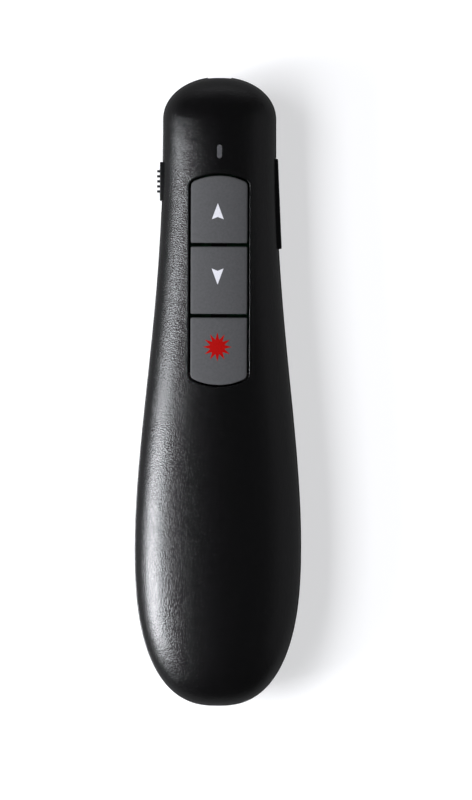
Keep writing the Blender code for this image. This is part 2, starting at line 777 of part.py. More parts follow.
def side_openings(name):
    """Cutters for the slider's slot and seat and for the rocker's opening."""
    slot_y = (SLIDER_Y - NECK_HALF_LENGTH - SLIDER_TRAVEL - LOOSE, SLIDER_Y + NECK_HALF_LENGTH + LOOSE)
    slot_x = (-SLIDER_WALL - OVERRUN, -SLIDER_WALL + WALL + OVERRUN)
    slot = box(f"{name} slider slot", slot_x, slot_y, (LOWER.level - SNUG, NECK_Z[1] + LOOSE))
    seat_y = (SLIDER_Y - SLIDER_LENGTH / 2 - SLIDER_TRAVEL - LOOSE, SLIDER_Y + SLIDER_LENGTH / 2 + LOOSE)
    seat_x = (-SLIDER_WALL - OVERRUN, -SLIDER_WALL + SHADOW_STEP + SLIDER_SEAT)
    seat = box(f"{name} slider seat", seat_x, seat_y, about(PARTING, SLIDER_HEIGHT / 2 + LOOSE))
    opening_x = (PIVOT_X - LUG_RADIUS - LOOSE, half_width(ROCKER_Y) + 2 * OVERRUN)
    opening_y = about(ROCKER_Y, ROCKER_LENGTH / 2 + LOOSE)
    opening_z = about(PARTING, ROCKER_HEIGHT / 2 + LOOSE)
    opening = box(f"{name} rocker opening", opening_x, opening_y, opening_z)
    return slot, seat, opening


def aperture_cut(name):
    """The hole in the nose, clear of the barrel behind it."""
    base = (0, BARREL_FRONT - OVERRUN, LASER_LEVEL)
    return rod(f"{name} aperture", APERTURE_RADIUS, base, FORWARD, BARREL_FROM_NOSE + 2 * OVERRUN)


def make_lower_shell(core):
    steps = [(0, lower_rim), (TONGUE_FACE, lower_rim), (TONGUE_FACE, tongue_top), (WALL, tongue_top)]
    case = shell("lower_shell", LOWER, steps)
    bay_x = both_ways(BAY_HALF + BAY_WALL)
    bay_y = (BAY_BACK - BAY_WALL, BAY_FRONT + BAY_WALL)
    low_block = keep_inside(box("bay block low", bay_x, bay_y, (0, LOWER.level)), core)
    # The block starts a little lower than the low one ends, so that the two overlap
    high_block = box("bay block high", bay_x, bay_y, (LOWER.level - OVERRUN, ROOF_TOP))
    sleeve_x = both_ways(HEAD_HALF + DOOR_GAP + SLEEVE_WALL)
    sleeve_y = (-CASE_LENGTH / 2, BAY_BACK - BAY_WALL / 2)
    sleeve = keep_inside(box("receiver sleeve", sleeve_x, sleeve_y, (0, LOWER.level)), core)
    join(case, low_block, high_block, sleeve)
    for name, (x, y) in SCREW_PLACES.items():
        boss = rod(f"lower boss {name}", SCREW_HEAD_RADIUS + SNUG + WELL_WALL, (x, y, 0), UP, LOWER.level)
        join(case, keep_inside(boss, core))
    for y in BOARD_SCREWS:
        foot = rod("board post foot", BOARD_POST_RADIUS, (0, y, 0), UP, LOWER.level)
        top_length = BOARD_BOTTOM - SEAT_GAP - LOWER.level + OVERRUN
        top = rod("board post top", BOARD_POST_RADIUS, (0, y, LOWER.level - OVERRUN), UP, top_length)
        join(case, keep_inside(foot, core), top)
    for y in (BARREL_BACK + CRADLE_INSET, BARREL_FRONT - CRADLE_INSET):
        rib = box("barrel cradle", both_ways(CRADLE_HALF), about(y, CRADLE_THICK / 2), (0, LASER_LEVEL))
        join(case, keep_inside(rib, core))
    pin_post = rod("lower pin post", LUG_RADIUS, (PIVOT_X, ROCKER_Y, 0), UP, PIN_POST_TOP, sides=FINE_SIDES)
    join(case, keep_inside(pin_post, core))
    cut(case, *bay_cuts(), *receiver_cuts())
    for name, (x, y) in SCREW_PLACES.items():
        well_depth = SCREW_SEAT_LEVEL + OVERRUN
        well = rod(f"screw well {name}", SCREW_HEAD_RADIUS + SNUG, (x, y, -OVERRUN), UP, well_depth)
        bore_radius, bore_top = SCREW_RADIUS + SNUG, PARTING + REBATE_RISE
        bore = rod(f"lower bore {name}", bore_radius, (x, y, 0), UP, bore_top, sides=FINE_SIDES)
        cut(case, well, bore)
    for y in BOARD_SCREWS:
        depth = BOARD_SCREW_LENGTH
        base = (0, y, BOARD_TOP - depth - SNUG)
        cut(case, rod("board post bore", SCREW_RADIUS + SNUG, base, UP, depth, sides=FINE_SIDES))
    barrel_base = (0, BARREL_BACK - OVERRUN, LASER_LEVEL)
    barrel_space = rod("barrel space", BARREL_RADIUS + SNUG, barrel_base, FORWARD, BARREL_LENGTH + OVERRUN)
    pin_base = (PIVOT_X, ROCKER_Y, PIN_POST_TOP - PIN_SEAT_DEPTH - SNUG)
    pin_depth = PIN_SEAT_DEPTH + SNUG + OVERRUN
    pin_bore = rod("lower pin bore", PIN_RADIUS + SNUG, pin_base, UP, pin_depth, sides=FINE_SIDES)
    cut(case, barrel_space, pin_bore, *side_openings("lower"), aperture_cut("lower"))
    return case


def bay_cuts():
    """Cutters for the battery bay: its space, the ledges that the door meets, and the notches round it."""
    bay_y = (BAY_BACK, BAY_FRONT)
    space = box("bay space", both_ways(BAY_HALF), bay_y, (LEDGE_HIGH, BAY_TOP))
    throat_z = (LEDGE_LOW - OVERRUN, LEDGE_HIGH + OVERRUN)
    throat = box("bay throat", both_ways(BAY_HALF - LEDGE_WIDTH), bay_y, throat_z)
    doorway = box("doorway", both_ways(BAY_HALF), bay_y, (-OVERRUN, LEDGE_LOW))
    tab_x = both_ways(CATCH_HALF + LOOSE)
    tab_y = (BAY_FRONT - OVERRUN, BAY_FRONT + BAY_WALL + OVERRUN)
    tab_slot = box("door tab slot", tab_x, tab_y, (WALL, TAB_HIGH + TAB_ROOM))
    latch_y = (BAY_BACK - LATCH_PAST_EDGE - LATCH_GAP, BAY_BACK + OVERRUN)
    latch_notch = box("latch notch", tab_x, latch_y, (-OVERRUN, LATCH_HIGH + SEAM))
    plate_slots = []
    for way in (-1, 1):
        slot_x = about(way * CELL_X, TAB_HALF + SNUG)
        slot_y = (BAY_FRONT - 2 * PLATE_GAP - PLATE_THICK, BAY_FRONT)
        plate_slots.append(box("contact slot", slot_x, slot_y, (BAY_TOP - OVERRUN, ROOF_TOP + OVERRUN)))
    return space, throat, doorway, tab_slot, latch_notch, *plate_slots


def receiver_cuts():
    """Cutters for the receiver's head and, in front of it, for its plug."""
    outside = -CASE_LENGTH / 2 - OVERRUN
    head_y = (outside, HEAD_FRONT + SEAM)
    head_z = (HEAD_LOW - LOOSE, HEAD_HIGH + LOOSE)
    head = box("receiver head space", both_ways(HEAD_HALF + LOOSE), head_y, head_z)
    plug_y = (outside, PLUG_FRONT + SEAM)
    plug_z = about(PLUG_LEVEL, PLUG_HEIGHT / 2 + LOOSE)
    plug = box("receiver plug space", both_ways(PLUG_HALF + LOOSE), plug_y, plug_z)
    return head, plug


# Keys and their switches


def make_key(index, form):
    """A key that fills its part of the opening flush with the case, hollow, with a flange and a post."""
    name = KEY_NAMES[index]
    front, middle = KEY_FRONTS[index], KEY_MIDDLES[index]
    reach = KEY_HALF + KEY_SIDE_GAP + FLANGE_OVERLAP  # the rocker's pivot keeps clear of this
    flange_top = facet_height(UPPER, reach, front, UPPER_INSIDE) - FLANGE_GAP
    bottom = flange_top - FLANGE_THICK
    ceiling = skin_height(UPPER, KEY_HALF, front, SHADOW_STEP) - KEY_TOP
    skirt_z = (ceiling - KEY_SKIRT, PARTING + CREST.paddle + OVERRUN)
    key = keep_inside(prism(f"key_{name}", key_outline(index, index, 0), skirt_z, "key_grey"), form)
    flange_y = about(middle, KEY_LENGTH / 2 - FLANGE_SHORT)
    join(key, box(f"flange {name}", both_ways(reach), flange_y, (bottom, flange_top)))
    cut(key, prism(f"hollow {name}", key_outline(index, index, -KEY_WALL), (bottom - OVERRUN, ceiling)))
    post_low = BOARD_TOP + TACT_HEIGHT + PLUNGER_STANDS + 2 * SEAT_GAP
    post_length = ceiling + KEY_TOP / 2 - post_low
    join(key, rod(f"post {name}", POST_RADIUS, (0, middle, post_low), UP, post_length, sides=FINE_SIDES))

    base_low = BOARD_TOP + SEAT_GAP
    base_top = base_low + TACT_HEIGHT
    tact_x, tact_y = both_ways(TACT_SIDE / 2), about(middle, TACT_SIDE / 2)
    base = box(f"tact_base_{name}", tact_x, tact_y, (base_low, base_top), "chip_black")
    bore_base = (0, middle, base_top - PLUNGER_BORE_DEPTH)
    bore_radius = PLUNGER_RADIUS + PLUNGER_BORE_GAP
    cut(base, rod(f"tact bore {name}", bore_radius, bore_base, UP, TACT_HEIGHT, sides=FINE_SIDES))
    low = (0, middle, base_top - PLUNGER_BORE_DEPTH + KEY_TRAVEL + SNUG)
    length = base_top + PLUNGER_STANDS - low[2]
    plunger = rod(f"tact_plunger_{name}", PLUNGER_RADIUS, low, UP, length, "white_plastic", FINE_SIDES)
    hang(moving_group(f"key joint {name}", (0, middle, base_top)), key, plunger)


def make_status_light(form):
    """The light pipe in the case and the light under it."""
    middle = from_nose(WINDOW_FROM_NOSE)
    led_top = BOARD_TOP + SEAT_GAP + LED_SIZE[2]
    above = PARTING + CREST.paddle + OVERRUN
    pipe = prism("led_window", window_outline(0), (led_top + SEAM, above), "smoked_clear")
    keep_inside(pipe, form)
    flange_half = WINDOW_HALF + WINDOW_FLANGE
    flange_reach = WINDOW_LENGTH / 2 + WINDOW_FLANGE
    flange_top = facet_height(UPPER, flange_half, middle + flange_reach, UPPER_INSIDE) - FLANGE_GAP
    flange_z = (flange_top - WINDOW_FLANGE_THICK, flange_top)
    join(pipe, box("pipe flange", both_ways(flange_half), about(middle, flange_reach), flange_z))
    led_x, led_y = both_ways(LED_SIZE[0] / 2), about(middle, LED_SIZE[1] / 2)
    box("led_chip", led_x, led_y, (BOARD_TOP + SEAT_GAP, led_top), "white_plastic")


# Side controls


def slider_ribs_outline(inner_x, outer_x):
    """The slider's plate with its row of ribs, seen from above."""
    points = [(inner_x, SLIDER_Y + SLIDER_LENGTH / 2), (inner_x, SLIDER_Y - SLIDER_LENGTH / 2)]
    points.append((outer_x, SLIDER_Y - SLIDER_LENGTH / 2))
    for i in range(RIB_COUNT):
        rib_y = SLIDER_Y + (i - (RIB_COUNT - 1) / 2) * RIB_PITCH
        low, high = about(rib_y, RIB_THICK / 2)
        tip_x = outer_x - RIB_STANDS
        points += [(outer_x, low), (tip_x, low), (tip_x, high), (outer_x, high)]
    points.append((outer_x, SLIDER_Y + SLIDER_LENGTH / 2))
    return points


def make_power_switch():
    """The slider, which reaches through the case to the actuator of a slide switch under the board."""
    inner_x = SHADOW_STEP + SLIDER_SEAT - SNUG - SLIDER_WALL
    outer_x = -SLIDER_WALL - SLIDER_PROUD
    slider = prism("power_slider", slider_ribs_outline(inner_x, outer_x), SLIDER_Z, "control_black")
    actuator_tip = SLIDE_SWITCH_X - ACTUATOR_STANDS
    slot_end = actuator_tip - SEAM
    fork_end = slot_end + FORK_SLOT_DEPTH
    plate_middle = (inner_x + outer_x) / 2
    slot_half = ACTUATOR_SIDE / 2 + SNUG
    fork = [(plate_middle, NECK_HALF_LENGTH), (fork_end, NECK_HALF_LENGTH)]
    fork += [(fork_end, slot_half), (slot_end, slot_half)]
    fork += [(x, -y) for x, y in reversed(fork)]
    join(slider, prism("slider neck", [(x, SLIDER_Y + y) for x, y in fork], NECK_Z))

    level = SLIDE_SWITCH_LEVEL
    housing_x = (SLIDE_SWITCH_X, SLIDE_SWITCH_X + SWITCH_DEPTH)
    housing_y = about(SLIDER_Y, SWITCH_LENGTH / 2)
    housing = box("switch_housing", housing_x, housing_y, about(level, SWITCH_HEIGHT / 2), "plated_steel")
    slot_x = (SLIDE_SWITCH_X - OVERRUN, SLIDE_SWITCH_X + SWITCH_SLOT_DEPTH)
    slot_y = (SLIDER_Y - slot_half - SLIDER_TRAVEL, SLIDER_Y + slot_half)
    cut(housing, box("switch slot", slot_x, slot_y, about(level, slot_half)))
    actuator_x = (actuator_tip, SLIDE_SWITCH_X + SWITCH_SLOT_DEPTH - SNUG)
    side = ACTUATOR_SIDE / 2
    actuator = box("switch_actuator", actuator_x, about(SLIDER_Y, side), about(level, side), "white_plastic")
    hang(moving_group("power slide joint", (outer_x, SLIDER_Y, level)), slider, actuator)


def rocker_outline():
    """The rocker seen from above: a straight outer face with small corners, and two nubs on its back."""
    points = []
    ends = ((1, ROCKER_PROUD_FRONT), (-1, ROCKER_PROUD_REAR))
    for way, proud in ends:
        end_y = ROCKER_Y + way * ROCKER_LENGTH / 2
        face_x = half_width(end_y) + proud
        corner = [(face_x - ROCKER_CORNER, end_y), (face_x, end_y - way * ROCKER_CORNER)]
        nub_y = ROCKER_Y + way * NUB_REACH
        nub = [(ROCKER_BACK_X, nub_y - way * NUB_HALF), (NUB_TIP_X, nub_y - way * NUB_HALF)]
        nub += [(NUB_TIP_X, nub_y + way * NUB_HALF), (ROCKER_BACK_X, nub_y + way * NUB_HALF)]
        half = nub + [(ROCKER_BACK_X, end_y)] + corner
        points += half if way == 1 else half[::-1]
    return points


def make_rocker():
    """The rocker on its upright pin, and the two side switches under the board."""
    rocker = prism("rocker_key", rocker_outline(), ROCKER_Z, "control_black")
    pivot = (PIVOT_X, ROCKER_Y)
    join(rocker, rod("rocker lug", LUG_RADIUS, (*pivot, ROCKER_Z[0]), UP, ROCKER_HEIGHT, sides=FINE_SIDES))
    bore_length = ROCKER_HEIGHT + 2 * OVERRUN
    bore_base = (*pivot, ROCKER_Z[0] - OVERRUN)
    cut(rocker, rod("rocker bore", PIN_RADIUS + SNUG / 2, bore_base, UP, bore_length, sides=FINE_SIDES))
    pin_low = PIN_POST_TOP - PIN_SEAT_DEPTH
    pin_length = ROCKER_Z[1] + PIN_SEAT_DEPTH - pin_low
    rod("rocker_pin", PIN_RADIUS, (*pivot, pin_low), UP, pin_length, "plated_steel", FINE_SIDES)
    hang(moving_group("rocker joint", (*pivot, sum(ROCKER_Z) / 2)), rocker)

    tip_x = NUB_TIP_X - SEAT_GAP
    face_x = tip_x - SIDE_PLUNGER_STANDS
    for name, way in (("front", 1), ("rear", -1)):
        y = ROCKER_Y + way * NUB_REACH
        base_x = (face_x - SIDE_TACT_SIZE[0], face_x)
        base_y = about(y, SIDE_TACT_SIZE[1] / 2)
        base_z = about(SIDE_SWITCH_LEVEL, SIDE_TACT_SIZE[2] / 2)
        base = box(f"side_tact_base_{name}", base_x, base_y, base_z, "chip_black")
        back = (face_x - SIDE_PLUNGER_DEPTH, y, SIDE_SWITCH_LEVEL)
        bore_back = (back[0] - SEAM, y, SIDE_SWITCH_LEVEL)
        bore_radius = SIDE_PLUNGER_RADIUS + SNUG
        depth = 2 * SIDE_PLUNGER_DEPTH
        cut(base, rod(f"side bore {name}", bore_radius, bore_back, RIGHT, depth, sides=FINE_SIDES))
        length = SIDE_PLUNGER_DEPTH + SIDE_PLUNGER_STANDS
        look = "white_plastic"
        plunger = rod(f"side_plunger_{name}", SIDE_PLUNGER_RADIUS, back, RIGHT, length, look, FINE_SIDES)
        hang(moving_group(f"side plunger joint {name}", back), plunger)


# Board and laser


def make_board():
    board_y, board_z = (BOARD_BACK, BOARD_FRONT), (BOARD_BOTTOM, BOARD_TOP)
    board = box("main_board", both_ways(BOARD_HALF), board_y, board_z, "circuit_board")
    for name, y in zip(("rear", "front"), sorted(BOARD_SCREWS)):
        hole_base = (0, y, BOARD_BOTTOM - OVERRUN)
        hole_length = BOARD_THICK + 2 * OVERRUN
        cut(board, rod("board hole", SCREW_RADIUS + SNUG, hole_base, UP, hole_length, sides=FINE_SIDES))
        head_top = (0, y, BOARD_TOP + SEAT_GAP + BOARD_SCREW_HEAD_HEIGHT)
        make_screw(f"board_screw_{name}", head_top, (0, 0, -1), BOARD_SCREW_HEAD_HEIGHT, BOARD_SCREW_LENGTH)
    under = BOARD_BOTTOM - SEAT_GAP
    chip_side = CHIP_SIDE / 2
    chip_y = about(KEY_MIDDLES[1], chip_side)
    box("controller_chip", both_ways(chip_side), chip_y, (under - CHIP_THICK, under), "chip_black")
    crystal_x = about(-BOARD_HALF / 2, CRYSTAL_SIZE[0] / 2)
    crystal_y = about(KEY_MIDDLES[-1], CRYSTAL_SIZE[1] / 2)
    box("crystal_can", crystal_x, crystal_y, (under - CRYSTAL_SIZE[2], under), "plated_steel")


def make_screw(name, head_face, direction, head_height, shank_length):
    """A screw with a round drive recess, from the face of its head along its direction."""
    profile = [
        (0, DRIVE_DEPTH),
        (DRIVE_RADIUS, DRIVE_DEPTH),
        (DRIVE_RADIUS, 0),
        (SCREW_HEAD_RADIUS, 0),
        (SCREW_HEAD_RADIUS, head_height),
        (SCREW_RADIUS, head_height),
        (SCREW_RADIUS, head_height + shank_length - SCREW_TIP),
        (0, head_height + shank_length),
    ]
    return lathe(name, profile, head_face, direction, "plated_steel", FINE_SIDES)


def make_case_screws():
    shank_length = PARTING + SCREW_REACH - SCREW_SEAT_LEVEL
    for name, (x, y) in SCREW_PLACES.items():
        face_level = SCREW_SEAT_LEVEL - SEAT_GAP - SCREW_HEAD_HEIGHT
        make_screw(f"shell_screw_{name}", (x, y, face_level), UP, SCREW_HEAD_HEIGHT, shank_length)


def make_laser():
    """The laser module behind the nose, and the ring and window in front of it."""
    back = (0, BARREL_BACK, LASER_LEVEL)
    lip_bore = BARREL_BORE - BARREL_LIP
    lip_start = BARREL_LENGTH - BARREL_LIP
    barrel = [(BARREL_BORE, 0), (BARREL_RADIUS, 0), (BARREL_RADIUS, BARREL_LENGTH)]
    barrel += [(lip_bore, BARREL_LENGTH), (lip_bore, lip_start), (BARREL_BORE, lip_start)]
    lathe("laser_barrel", barrel, back, FORWARD, "brass")
    can = [(0, 0), (DIODE_RADIUS, 0), (DIODE_RADIUS, DIODE_FLANGE), (DIODE_CAN_RADIUS, DIODE_FLANGE)]
    can += [(DIODE_CAN_RADIUS, DIODE_LENGTH), (0, DIODE_LENGTH)]
    lathe("laser_diode", can, (0, BARREL_BACK + SEAM, LASER_LEVEL), FORWARD, "plated_steel", FINE_SIDES)
    lens_base = (0, BARREL_FRONT - LENS_FROM_FRONT - LENS_EDGE, LASER_LEVEL)
    lens = [(0, 0), (LENS_RADIUS, 0)]
    for i in range(CORNER_STEPS + 1):
        angle = math.pi / 2 * i / CORNER_STEPS
        lens.append((LENS_RADIUS * math.cos(angle), LENS_EDGE + LENS_BULGE * math.sin(angle)))
    lens[-1] = (0, LENS_EDGE + LENS_BULGE)
    lathe("laser_lens", lens, lens_base, FORWARD, "lens_glass", FINE_SIDES)
    driver_y = (BARREL_BACK - SEAM - DRIVER_LENGTH, BARREL_BACK - SEAM)
    driver_z = about(LASER_LEVEL, DRIVER_THICK / 2)
    box("laser_driver_board", both_ways(DRIVER_HALF), driver_y, driver_z, "circuit_board")

    ring_base = (0, from_nose(RING_FROM_NOSE + RING_LENGTH), LASER_LEVEL)
    outer = APERTURE_RADIUS - SNUG
    seat = RING_BORE + RING_STEP
    seat_depth = APERTURE_WINDOW_THICK + SNUG
    ring = [(seat, 0), (outer, 0), (outer, RING_LENGTH - RING_STEP), (outer - RING_STEP, RING_LENGTH)]
    ring += [(seat, RING_LENGTH), (RING_BORE, RING_LENGTH - RING_STEP)]
    ring += [(RING_BORE, seat_depth), (seat, seat_depth)]
    lathe("aperture_ring", ring, ring_base, FORWARD, "inner_plastic")
    rod("aperture_window", seat - SNUG, ring_base, FORWARD, APERTURE_WINDOW_THICK, "lens_glass", FINE_SIDES)


# Batteries


def make_cell(name, nub_tip, direction):
    """An AAA cell, from the tip of its positive nub back along a direction."""
    profile = [
        (0, 0),
        (CELL_NUB_RADIUS, 0),
        (CELL_NUB_RADIUS, CELL_NUB_LENGTH),
        (CELL_RADIUS - CELL_SHOULDER, CELL_NUB_LENGTH),
        (CELL_RADIUS, CELL_NUB_LENGTH + CELL_SHOULDER),
        (CELL_RADIUS, CELL_LENGTH - CELL_SHOULDER),
        (CELL_RADIUS - CELL_SHOULDER, CELL_LENGTH),
        (0, CELL_LENGTH),
    ]
    return lathe(name, profile, nub_tip, direction, "cell_jacket")


def make_spring(name, x, plate_y, way):
    """A conical spring in a cell's axis, from its plate towards the cell."""
    start = plate_y + way * (SEAT_GAP + SPRING_WIRE)
    length = SPRING_ROOM - 2 * (SEAT_GAP + SPRING_WIRE) - SEAT_GAP
    count = SPRING_TURNS * SPRING_POINTS_PER_TURN
    data = bpy.data.curves.new(name, "CURVE")
    data.dimensions = "3D"
    data.bevel_depth = SPRING_WIRE
    data.bevel_resolution = 0
    data.use_fill_caps = True
    spline = data.splines.new("POLY")
    spline.points.add(count)
    for i, point in enumerate(spline.points):
        share = i / count
        angle = 2 * math.pi * SPRING_TURNS * share
        radius = SPRING_WIDE + (SPRING_NARROW - SPRING_WIDE) * share
        place = (radius * math.cos(angle), way * length * share, radius * math.sin(angle))
        point.co = (*place, 1)
    data.materials.append(bpy.data.materials["plated_steel"])
    spring = bpy.data.objects.new(name, data)
    spring.location = (x, start, CELL_LEVEL)
    bpy.context.collection.objects.link(spring)
    return spring


def make_contact(name, x):
    """A front contact plate with a tab that passes through the bay's roof and lies on the board."""
    plate_y = (BAY_FRONT - PLATE_GAP - PLATE_THICK, BAY_FRONT - PLATE_GAP)
    plate_z = (CELL_LEVEL - PLATE_LOW, CELL_LEVEL + PLATE_HALF)
    plate = box(name, about(x, PLATE_HALF), plate_y, plate_z, "plated_steel")
    foot = max(BOARD_TOP, ROOF_TOP) + SEAT_GAP
    rise = box(f"{name} rise", about(x, TAB_HALF), plate_y, (CELL_LEVEL, foot + PLATE_THICK))
    foot_y = (plate_y[0], plate_y[0] + TAB_REACH)
    join(plate, rise, box(f"{name} foot", about(x, TAB_HALF), foot_y, (foot, foot + PLATE_THICK)))
    return plate


def make_batteries():
    """Two cells side by side, pointing opposite ways, with their plates and springs."""
    front_plate = BAY_FRONT - PLATE_GAP - PLATE_THICK
    back_plate = BAY_BACK + PLATE_GAP + PLATE_THICK
    make_cell("battery_left", (-CELL_X, front_plate - SEAT_GAP, CELL_LEVEL), (0, -1, 0))
    make_cell("battery_right", (CELL_X, back_plate + SEAT_GAP, CELL_LEVEL), FORWARD)
    make_contact("contact_positive", -CELL_X)
    make_contact("contact_negative", CELL_X)
    make_spring("spring_tail", -CELL_X, back_plate, 1)
    make_spring("spring_front", CELL_X, front_plate, -1)
    bridge_x = both_ways(CELL_X + PLATE_HALF)
    bridge_y = (BAY_BACK + PLATE_GAP, back_plate)
    bridge_z = (CELL_LEVEL - PLATE_LOW, CELL_LEVEL + PLATE_HALF)
    box("contact_bridge", bridge_x, bridge_y, bridge_z, "plated_steel")


def door_panel(name, x, y, ceiling):
    """A panel that follows the belly outside and inside, between two places on X and on Y."""
    mesh = bmesh.new()
    columns = [x[0] + (x[1] - x[0]) * i / DOOR_COLUMNS for i in range(DOOR_COLUMNS + 1)]
    rows = [y[0] + (y[1] - y[0]) * i / DOOR_ROWS for i in range(DOOR_ROWS + 1)]
    layers = []
    for inset in (0, DOOR_THICK):
        heights = [[min(skin_height(LOWER, px, py, inset), ceiling) for px in columns] for py in rows]
        layers.append(
            [[mesh.verts.new((px, py, z)) for px, z in zip(columns, line)] for py, line in zip(rows, heights)]
        )
    for grid in layers:
        for first, second in zip(grid, grid[1:]):
            for k in range(DOOR_COLUMNS):
                face(mesh, first[k], first[k + 1], second[k + 1], second[k])
    borders = []
    for grid in layers:
        sides = [line[-1] for line in grid[1:-1]], [line[0] for line in reversed(grid[1:-1])]
        borders.append([*grid[0], *sides[0], *reversed(grid[-1]), *sides[1]])
    bridge(mesh, *borders)
    return add_object(name, mesh, "case_black")


def make_battery_door():
    """The cover in the belly, with a tab at its front and a latch at its back."""
    door_y = (BAY_BACK + DOOR_GAP, BAY_FRONT - DOOR_GAP)
    inner_z = LEDGE_LOW - DOOR_GAP
    door = door_panel("battery_door", both_ways(BAY_HALF - DOOR_GAP), door_y, inner_z)
    catch_x = both_ways(CATCH_HALF)
    thumb_y = (BAY_BACK - LATCH_PAST_EDGE, door_y[0] + CATCH_THICK)
    join(door, box("latch thumb", catch_x, thumb_y, (0, DOOR_THICK - SEAT_GAP)))
    riser_y = (door_y[0] + SNUG, door_y[0] + CATCH_THICK)
    riser = box("latch riser", both_ways(CATCH_HALF - SNUG), riser_y, (DOOR_THICK / 2, LATCH_HIGH))
    root_y = (door_y[1] - TAB_ROOT, door_y[1] - SNUG)
    hook_y = BAY_FRONT + TAB_PAST_EDGE
    hook = [(root_y[0], DOOR_THICK / 2), (root_y[1], DOOR_THICK / 2), (root_y[1], TAB_LOW)]
    hook += [(hook_y, TAB_LOW), (hook_y, TAB_HIGH), (root_y[0], TAB_HIGH)]
    join(door, riser, side_prism("tab hook", hook, catch_x))
    hang(moving_group("battery door joint", (0, door_y[1], 0)), door)


def make_receiver(form):
    """The USB receiver: a head flush with the tail, and its plug of folded sheet round a tongue."""
    head_y = (-CASE_LENGTH / 2 - OVERRUN, HEAD_FRONT)
    head = box("receiver_head", both_ways(HEAD_HALF), head_y, (HEAD_LOW, HEAD_HIGH), "inner_plastic")
    keep_inside(head, form)
    plug_y = (HEAD_FRONT + SEAT_GAP, PLUG_FRONT)
    plug_z = about(PLUG_LEVEL, PLUG_HEIGHT / 2)
    plug = box("receiver_plug", both_ways(PLUG_HALF), plug_y, plug_z, "plated_steel")
    inside_y = (plug_y[0] - OVERRUN, plug_y[1] + OVERRUN)
    inside_z = about(PLUG_LEVEL, PLUG_HEIGHT / 2 - PLUG_SHEET)
    cut(plug, box("plug inside", both_ways(PLUG_HALF - PLUG_SHEET), inside_y, inside_z))
    tongue_y = (plug_y[0], plug_y[1] - TONGUE_SHORT)
    tongue_top = PLUG_LEVEL + PLUG_HEIGHT / 2 - PLUG_SHEET - SNUG
    tongue_z = (tongue_top - TONGUE_THICK, tongue_top)
    tongue = box("receiver_tongue", both_ways(TONGUE_HALF), tongue_y, tongue_z, "white_plastic")
    hang(moving_group("receiver joint", (0, HEAD_FRONT, PLUG_LEVEL)), head, plug, tongue)


def main():
    clear_scene()
    make_looks()
    upper_skin = half_form("upper skin", UPPER, SHADOW_STEP)
    lower_skin = half_form("lower skin", LOWER, 0)
    make_upper_shell(half_form("upper core", UPPER, SHADOW_STEP + WALL / 2))
    make_lower_shell(half_form("lower core", LOWER, WALL / 2))
    for index in range(len(KEY_NAMES)):
        make_key(index, upper_skin)
    make_status_light(upper_skin)
    make_power_switch()
    make_rocker()
    make_board()
    make_case_screws()
    make_laser()
    make_batteries()
    make_battery_door()
    make_receiver(lower_skin)


main()
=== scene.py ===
"""The looks of the wireless presenter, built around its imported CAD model.

It lies on its back on a pale table and is seen from straight above, with its laser end at the top.
Lengths are in metres, in the frame of the model: +Y points to the laser end and +Z out of the keys.
"""

import json
import math
from collections import namedtuple

import bmesh
import bpy
from mathutils import Matrix, Vector

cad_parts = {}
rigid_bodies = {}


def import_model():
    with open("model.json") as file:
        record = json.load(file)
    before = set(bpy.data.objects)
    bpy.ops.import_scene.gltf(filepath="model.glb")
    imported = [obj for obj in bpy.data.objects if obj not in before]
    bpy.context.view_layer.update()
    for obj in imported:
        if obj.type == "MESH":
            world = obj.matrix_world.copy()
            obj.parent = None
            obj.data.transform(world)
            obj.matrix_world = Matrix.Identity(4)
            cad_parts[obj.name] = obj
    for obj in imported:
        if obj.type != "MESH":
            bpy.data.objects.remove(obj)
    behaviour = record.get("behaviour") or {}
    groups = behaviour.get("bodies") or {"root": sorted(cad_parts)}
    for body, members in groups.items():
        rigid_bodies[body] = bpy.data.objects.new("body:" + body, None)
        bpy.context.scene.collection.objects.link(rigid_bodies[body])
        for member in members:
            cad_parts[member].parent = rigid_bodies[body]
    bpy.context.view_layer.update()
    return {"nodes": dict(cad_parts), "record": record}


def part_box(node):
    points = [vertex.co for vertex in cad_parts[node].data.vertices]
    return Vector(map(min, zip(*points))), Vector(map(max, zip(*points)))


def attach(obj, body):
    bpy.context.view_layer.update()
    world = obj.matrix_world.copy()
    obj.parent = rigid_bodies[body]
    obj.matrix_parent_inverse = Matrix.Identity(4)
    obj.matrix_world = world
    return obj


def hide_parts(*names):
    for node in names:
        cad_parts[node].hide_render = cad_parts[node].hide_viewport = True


MM = 0.001
DEGREE = math.pi / 180
UP = (0, 0, 1)
FORWARD = (0, 1, 0)
ACROSS = (1, 0, 0)

# Case, as in the CAD model
CASE_LENGTH = 136 * MM
SEAM = 0.3 * MM
PARTING = 11.2 * MM
WALL = 1.9 * MM
SHADOW_STEP = 0.2 * MM
TONGUE_FACE = 1.1 * MM
REBATE_FACE = 0.85 * MM
RIM_STEP = 0.5 * MM
RIM_ROUND = 0.25 * MM
END_FIELDS = "nose_reach nose_power tail_reach tail_power"
Profile = namedtuple("Profile", f"neck paddle {END_FIELDS} swell_from swell_to swell_power")
NOSE_REACH = 9.3 * MM
TAIL_REACH = 34.5 * MM
SWELL_END = CASE_LENGTH - TAIL_REACH
WIDTH = Profile(12.25 * MM, 18 * MM, NOSE_REACH, 2.05, TAIL_REACH, 2.5, NOSE_REACH, SWELL_END, 1.27)
CREST = Profile(9.1 * MM, 10 * MM, 14 * MM, 2.2, 40 * MM, 2.4, NOSE_REACH, SWELL_END, 1)
KEEL = Profile(7.6 * MM, 12 * MM, 16 * MM, 2.2, 28 * MM, 2.6, NOSE_REACH, 62 * MM, 1)
Half = namedtuple("Half", "way level inset rise wide_power tall_power")
UPPER = Half(way=1, level=PARTING + SEAM / 2, inset=SHADOW_STEP, rise=CREST, wide_power=2, tall_power=2.6)
LOWER = Half(way=-1, level=PARTING - SEAM / 2, inset=0, rise=KEEL, wide_power=2.2, tall_power=3)
